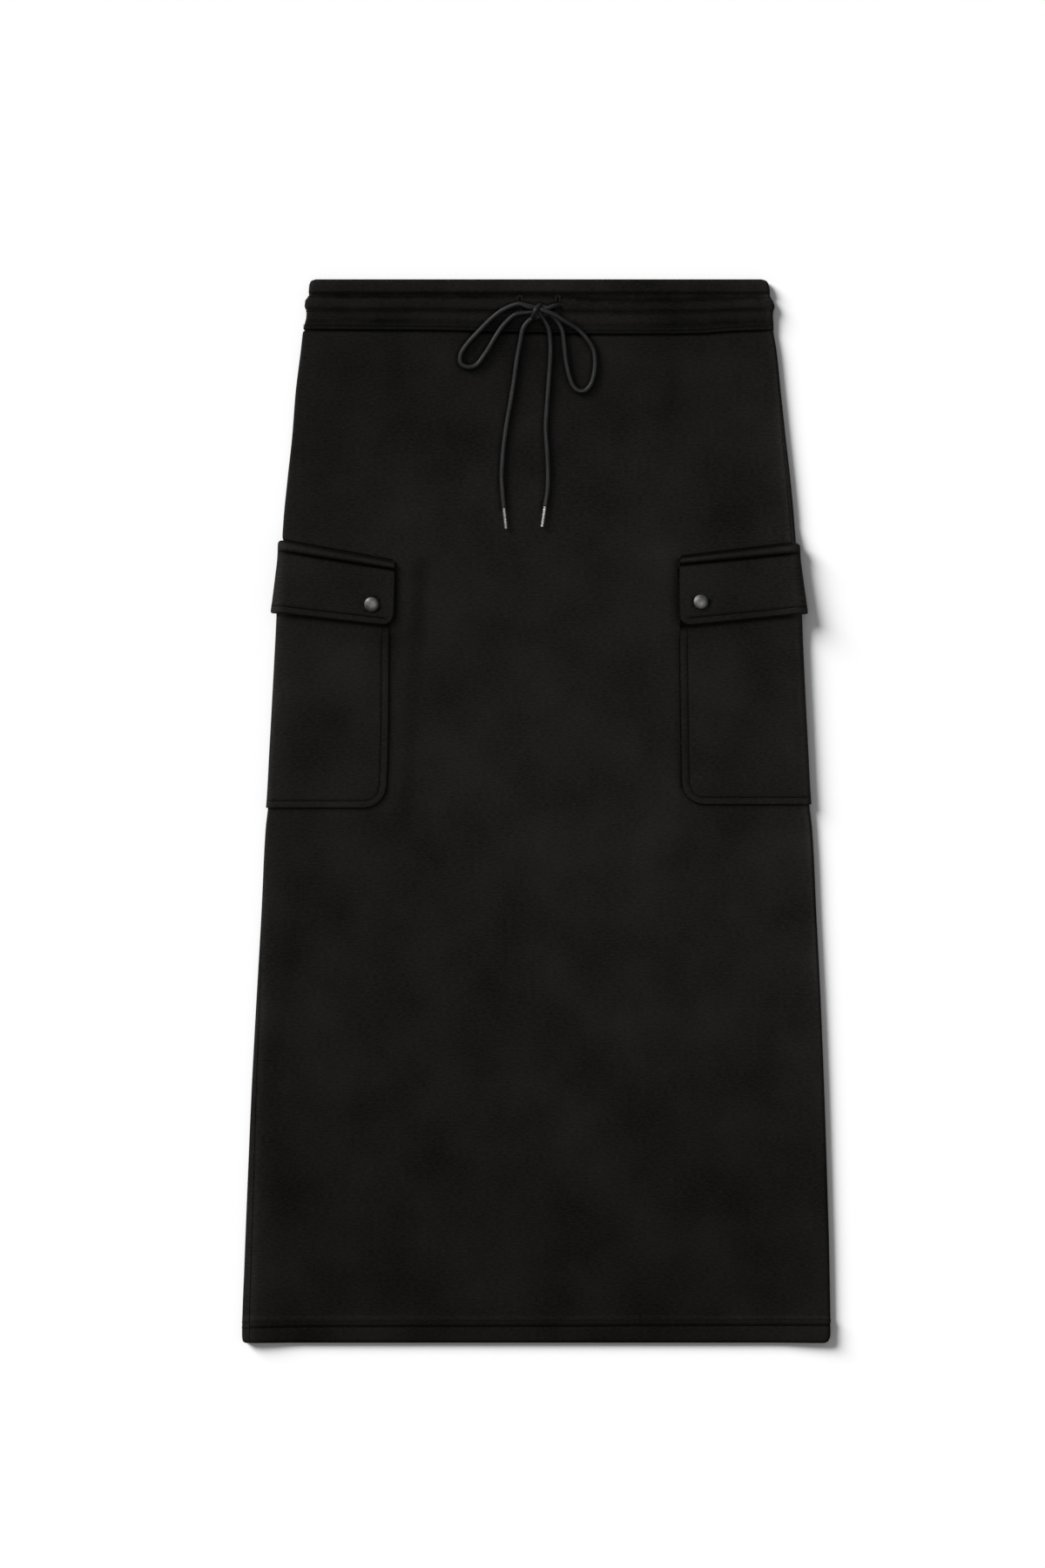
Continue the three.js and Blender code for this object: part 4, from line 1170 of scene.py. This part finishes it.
def stitch_tree():
    tree = bpy.data.node_groups.new("row_of_stitches", "GeometryNodeTree")
    face = tree.interface
    face.new_socket("Path", in_out="INPUT", socket_type="NodeSocketGeometry")
    for name, value in STITCH_SIZES.items():
        face.new_socket(name, in_out="INPUT", socket_type="NodeSocketFloat").default_value = value
    face.new_socket("Finish", in_out="INPUT", socket_type="NodeSocketMaterial")
    face.new_socket("Stitches", in_out="OUTPUT", socket_type="NodeSocketGeometry")
    given = node(tree, "NodeGroupInput").outputs
    line = feed(tree, "GeometryNodeMeshToCurve", given["Path"])
    spots = node(tree, "GeometryNodeCurveToPoints", Curve=line, Length=given["Spacing"], mode="LENGTH")
    spots = spots.outputs
    up = feed(tree, "GeometryNodeInputNamedAttribute", Name="up", data_type="FLOAT_VECTOR")
    align = "FunctionNodeAlignRotationToVector"
    along = feed(tree, align, Vector=spots["Tangent"], axis="X")
    stand = feed(tree, align, Rotation=along, Vector=up, axis="Z", pivot_axis="X")
    chance = node(
        tree, "FunctionNodeRandomValue", None, None, maths(tree, "MULTIPLY", given["Waver"], -1.0),
        given["Waver"], Seed=STITCH_SEED, data_type="FLOAT",
    ).outputs[1]
    angle = maths(tree, "ADD", given["Turn"], chance)
    spin = feed(tree, "FunctionNodeAxisAngleToRotation", Axis=(0, 0, 1), Angle=angle)
    turned = feed(tree, "FunctionNodeRotateRotation", Rotation=stand, Rotate_By=spin, rotation_space="LOCAL")
    bend = {
        name: feed(
            tree, "ShaderNodeCombineXYZ", maths(tree, "MULTIPLY", given["Length"], share), None,
            maths(tree, "MULTIPLY", given["Rise"], height),
        )
        for name, (share, height) in STITCH_BEND.items()
    }
    thread = feed(tree, "GeometryNodeCurvePrimitiveBezierSegment", Resolution=4, **bend)
    ring = feed(tree, "GeometryNodeCurvePrimitiveCircle", Resolution=6, Radius=given["Thread"])
    stitch = feed(tree, "GeometryNodeCurveToMesh", Curve=thread, Profile_Curve=ring, Fill_Caps=True)
    placed = feed(
        tree, "GeometryNodeInstanceOnPoints", Points=spots["Points"], Instance=stitch, Rotation=turned,
    )
    real = feed(tree, "GeometryNodeRealizeInstances", placed)
    finished = feed(tree, "GeometryNodeSetMaterial", Geometry=real, Material=given["Finish"])
    node(tree, "NodeGroupOutput", finished)
    return tree


# %% Sewing threads
def thread_material(name, dark, light):
    material, tree = new_material(name, Roughness=0.6, Specular_IOR_Level=0.005)
    place = node(tree, "ShaderNodeTexCoord").outputs
    dress(tree, Base_Color=toned(tree, noise(tree, place["Object"], 3000.0, 2.0), dark, light))
    return material


# One black thread in three tones: the darkest is painted shade for stitches sunk in grooves, the lightest is
# painted highlight for the raised cover rows and buttonhole stitches.
shaded_thread = thread_material("thread", (0.0006, 0.0006, 0.0006), (0.002, 0.002, 0.0019))
even_thread = thread_material("even_thread", (0.002, 0.002, 0.0019), (0.006, 0.006, 0.0057))
lit_thread = thread_material("lit_thread", (0.005, 0.005, 0.0048), (0.013, 0.013, 0.0125))

# %% Sew a set of lines
STITCHES = stitch_tree()
LOWEST_THREAD = 0.6


def sew(name, lines, finish, **sizes):
    points = np.vstack([line for line, up in lines])
    points[:, 2] = np.maximum(points[:, 2], LOWEST_THREAD)
    ends = np.cumsum([len(line) for line, up in lines])
    edges = [(i, i + 1) for i in range(len(points) - 1) if i + 1 not in ends]
    mesh = bpy.data.meshes.new(name)
    mesh.from_pydata((points * MM).tolist(), edges, [])
    store(mesh, "up", "FLOAT_VECTOR", "vector", np.vstack([up for line, up in lines]))
    piece = link(bpy.data.objects.new(name, mesh))
    change = piece.modifiers.new("stitches", "NODES")
    change.node_group = STITCHES
    sizes["Finish"] = finish
    for item in STITCHES.interface.items_tree:
        if item.name in sizes:
            change[item.identifier] = sizes[item.name]
    keep_result(piece, change)
    if not piece.data.materials:
        piece.data.materials.append(finish)
    piece_done(piece, "knit", [])
    print(name, len(piece.data.polygons), "faces")


# %% Lines along a grid
def line_on_grid(grid, row_at, lift=0.0, lowest=-2.0):
    face, normals, rows, x = grid
    line, up = [], []
    for c in range(x.shape[1]):
        at = float(row_at(x[0, c]))
        point, normal = (
            np.array([np.interp(at, rows[:, c], part[:, c, k]) for k in range(3)])
            for part in (face, normals)
        )
        if normal[2] > lowest:
            line.append(point + normal * lift)
            up.append(normal)
    return np.array(line), np.array(up)


# %% Hem, waistband and buttonhole stitches
FACES_UP = 0.1
HEM_SEWING = {"Spacing": 0.0030, "Length": 0.0026, "Thread": 0.00022, "Rise": 0.00022}
for name, thread in (("upper", even_thread), ("lower", shaded_thread)):
    def hem_row(x, name=name):
        return read(HEM_STITCHES, x, name)
    hem_lines = [line_on_grid(front_grid, hem_row, lowest=FACES_UP), line_on_grid(back_grid, hem_row)]
    sew(f"hem_{name}_stitches", hem_lines, thread, **HEM_SEWING)


def band_line(name, lift, waver=0.0):
    def row_at(x):
        return read(BAND_LINES, x, name) + waver * ripple(np.array([x]), 41, RIPPLE_SEED)[0]
    return line_on_grid(band_grid, row_at, lift, FACES_UP)


def cover_middle(x):
    return sum(read(BAND_LINES, x, name) for name in COVER_ROWS) / 2


sew("waistband_stitches", [band_line("upper", -0.1, 0.5), band_line("lower", -0.1, 0.3)],
    even_thread, **HEM_SEWING)
sew("waistband_cover_rows", [band_line(name, 0.05) for name in COVER_ROWS], lit_thread,
    Spacing=0.0022, Length=0.0020, Thread=0.00015, Rise=0.0002)
sew("waistband_cover_threads", [line_on_grid(band_grid, cover_middle, lift=0.15)], even_thread,
    Spacing=0.0018, Length=0.0038, Thread=0.00011, Rise=0.00018, Turn=1.4, Waver=0.14)

hole_lines = []
for slot in SLOTS.values():
    grown = (slot_outline(*slot) - slot) * (1.9, 1.12) + slot
    dense = np.vstack([grown, grown[:1]])
    z = np.interp(dense[:, 1], BAND_ROWS["y"], BAND_ROWS["top"]) - 0.1
    hole_lines.append((np.column_stack([dense, z]), np.tile([0.0, 0.0, 1.0], (len(z), 1))))
sew("buttonhole_stitches", hole_lines, lit_thread, Spacing=0.00045, Length=0.0015, Thread=0.00018,
    Rise=0.0003, Turn=1.5708, Waver=0.05)


# %% Pocket and flap stitches
def pocket_line(side, high=168.0):
    name = f"pocket_{side}"
    centre = POCKET_LOW + POCKET_CORNER
    inner = POCKET_CORNER - POCKET_STITCH
    rows = np.linspace(high, centre, 46)
    turn = np.linspace(0, pi / 2, 14)[1:]
    bend_rows = centre - inner * np.sin(turn)
    front = read(REACHES, rows, name) - POCKET_STITCH
    front_bend = read(REACHES, bend_rows, name) - POCKET_CORNER + inner * np.cos(turn)
    back = BACK_REACH[name] - POCKET_STITCH + 0 * rows
    back_bend = BACK_REACH[name] - POCKET_CORNER + inner * np.cos(turn)
    flat = np.linspace(front_bend[-1], -back_bend[-1], 70)[1:-1]
    column = np.concatenate([front, front_bend, flat, -back_bend[::-1], -back[::-1]])
    low = POCKET_LOW + POCKET_STITCH + 0 * flat
    return column, np.concatenate([rows, bend_rows, low, bend_rows[::-1], rows[::-1]])


def flap_line(side, short=8.5):
    front_end = read(REACHES, 178.3, f"flap_{side}") - short
    column = np.linspace(front_end, short - BACK_REACH[f"flap_{side}"], 120)
    return column, FLAP_LOW + FLAP_STITCH + 0 * column


for side in ("left", "right"):
    for kind, faces_of, line in (
        ("pocket", pocket_faces, pocket_line(side)), ("flap", flap_faces, flap_line(side)),
    ):
        points, normals, outer = faces_of(side, *line)[:3]
        sew(f"{kind}_{side}_stitches", [(points + normals * outer[:, None], normals)], shaded_thread,
            Spacing=0.0028, Length=0.0024, Thread=0.0002, Rise=0.0002)

# %% [markdown]
# The floor and the light
#
# The photograph is a studio shot on white, and its white was lifted afterwards, so one set of lamps
# can't give both its floor and its black cloth. A broad lamp, low at the upper left, gives the soft
# shadow to the right and below. Two more lamps shine on the skirt alone, which light linking allows:
# a wide one overhead keeps the cloth readable, and a spot brightens its middle a little.

# %% Floor
FLOOR_HALF = 6000.0
FLOOR_DROP = 0.4
floor_finish = new_material(
    "white_floor", Base_Color=(0.86, 0.86, 0.86, 1), Roughness=0.9, Specular_IOR_Level=0.1,
)[0]
corners = [(x * FLOOR_HALF, y * FLOOR_HALF, -FLOOR_DROP) for x, y in ((-1, -1), (1, -1), (1, 1), (-1, 1))]
make_piece("floor", np.array(corners), [(0, 1, 2, 3)], floor_finish)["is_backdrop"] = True

# %% Lights
def lamp(name, kind, power, place, toward, **values):
    data = bpy.data.lights.new(name, kind)
    data.energy = power
    for key, value in values.items():
        setattr(data, key, value)
    made = link(bpy.data.objects.new(name, data))
    made.location = place
    made.rotation_euler = Vector(toward).to_track_quat("-Z", "Y").to_euler()
    return made


KEY_TURN = radians(38)
KEY_RISE = radians(25)
KEY_SPREAD = radians(28)
level = cos(KEY_RISE)
shine = (level * cos(KEY_TURN), -level * sin(KEY_TURN), -sin(KEY_RISE))
lamp("key", "SUN", 6.85, (0, 0, 0), shine, angle=KEY_SPREAD)

# %% Two lamps that light the skirt alone
skirt_pieces = bpy.data.collections.new("skirt_pieces")
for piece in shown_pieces():
    skirt_pieces.objects.link(piece)

overhead = lamp("overhead", "AREA", 30, (0, 0.12, 4.6), (0, -0.12, -4.6), shape="DISK", size=1.4)
spot = lamp(
    "spot", "SPOT", 860, (0.025, 0.075, 4.5), (0, 0, -1),
    shadow_soft_size=0.4, spot_size=radians(14), spot_blend=1.0,
)
for made in (overhead, spot):
    made.light_linking.receiver_collection = skirt_pieces

world = bpy.data.worlds.new("studio")
world.use_nodes = True
world.node_tree.nodes["Background"].inputs["Color"].default_value = (1, 1, 1, 1)
world.node_tree.nodes["Background"].inputs["Strength"].default_value = 0.25
scene.world = world
scene.view_settings.view_transform = "Standard"
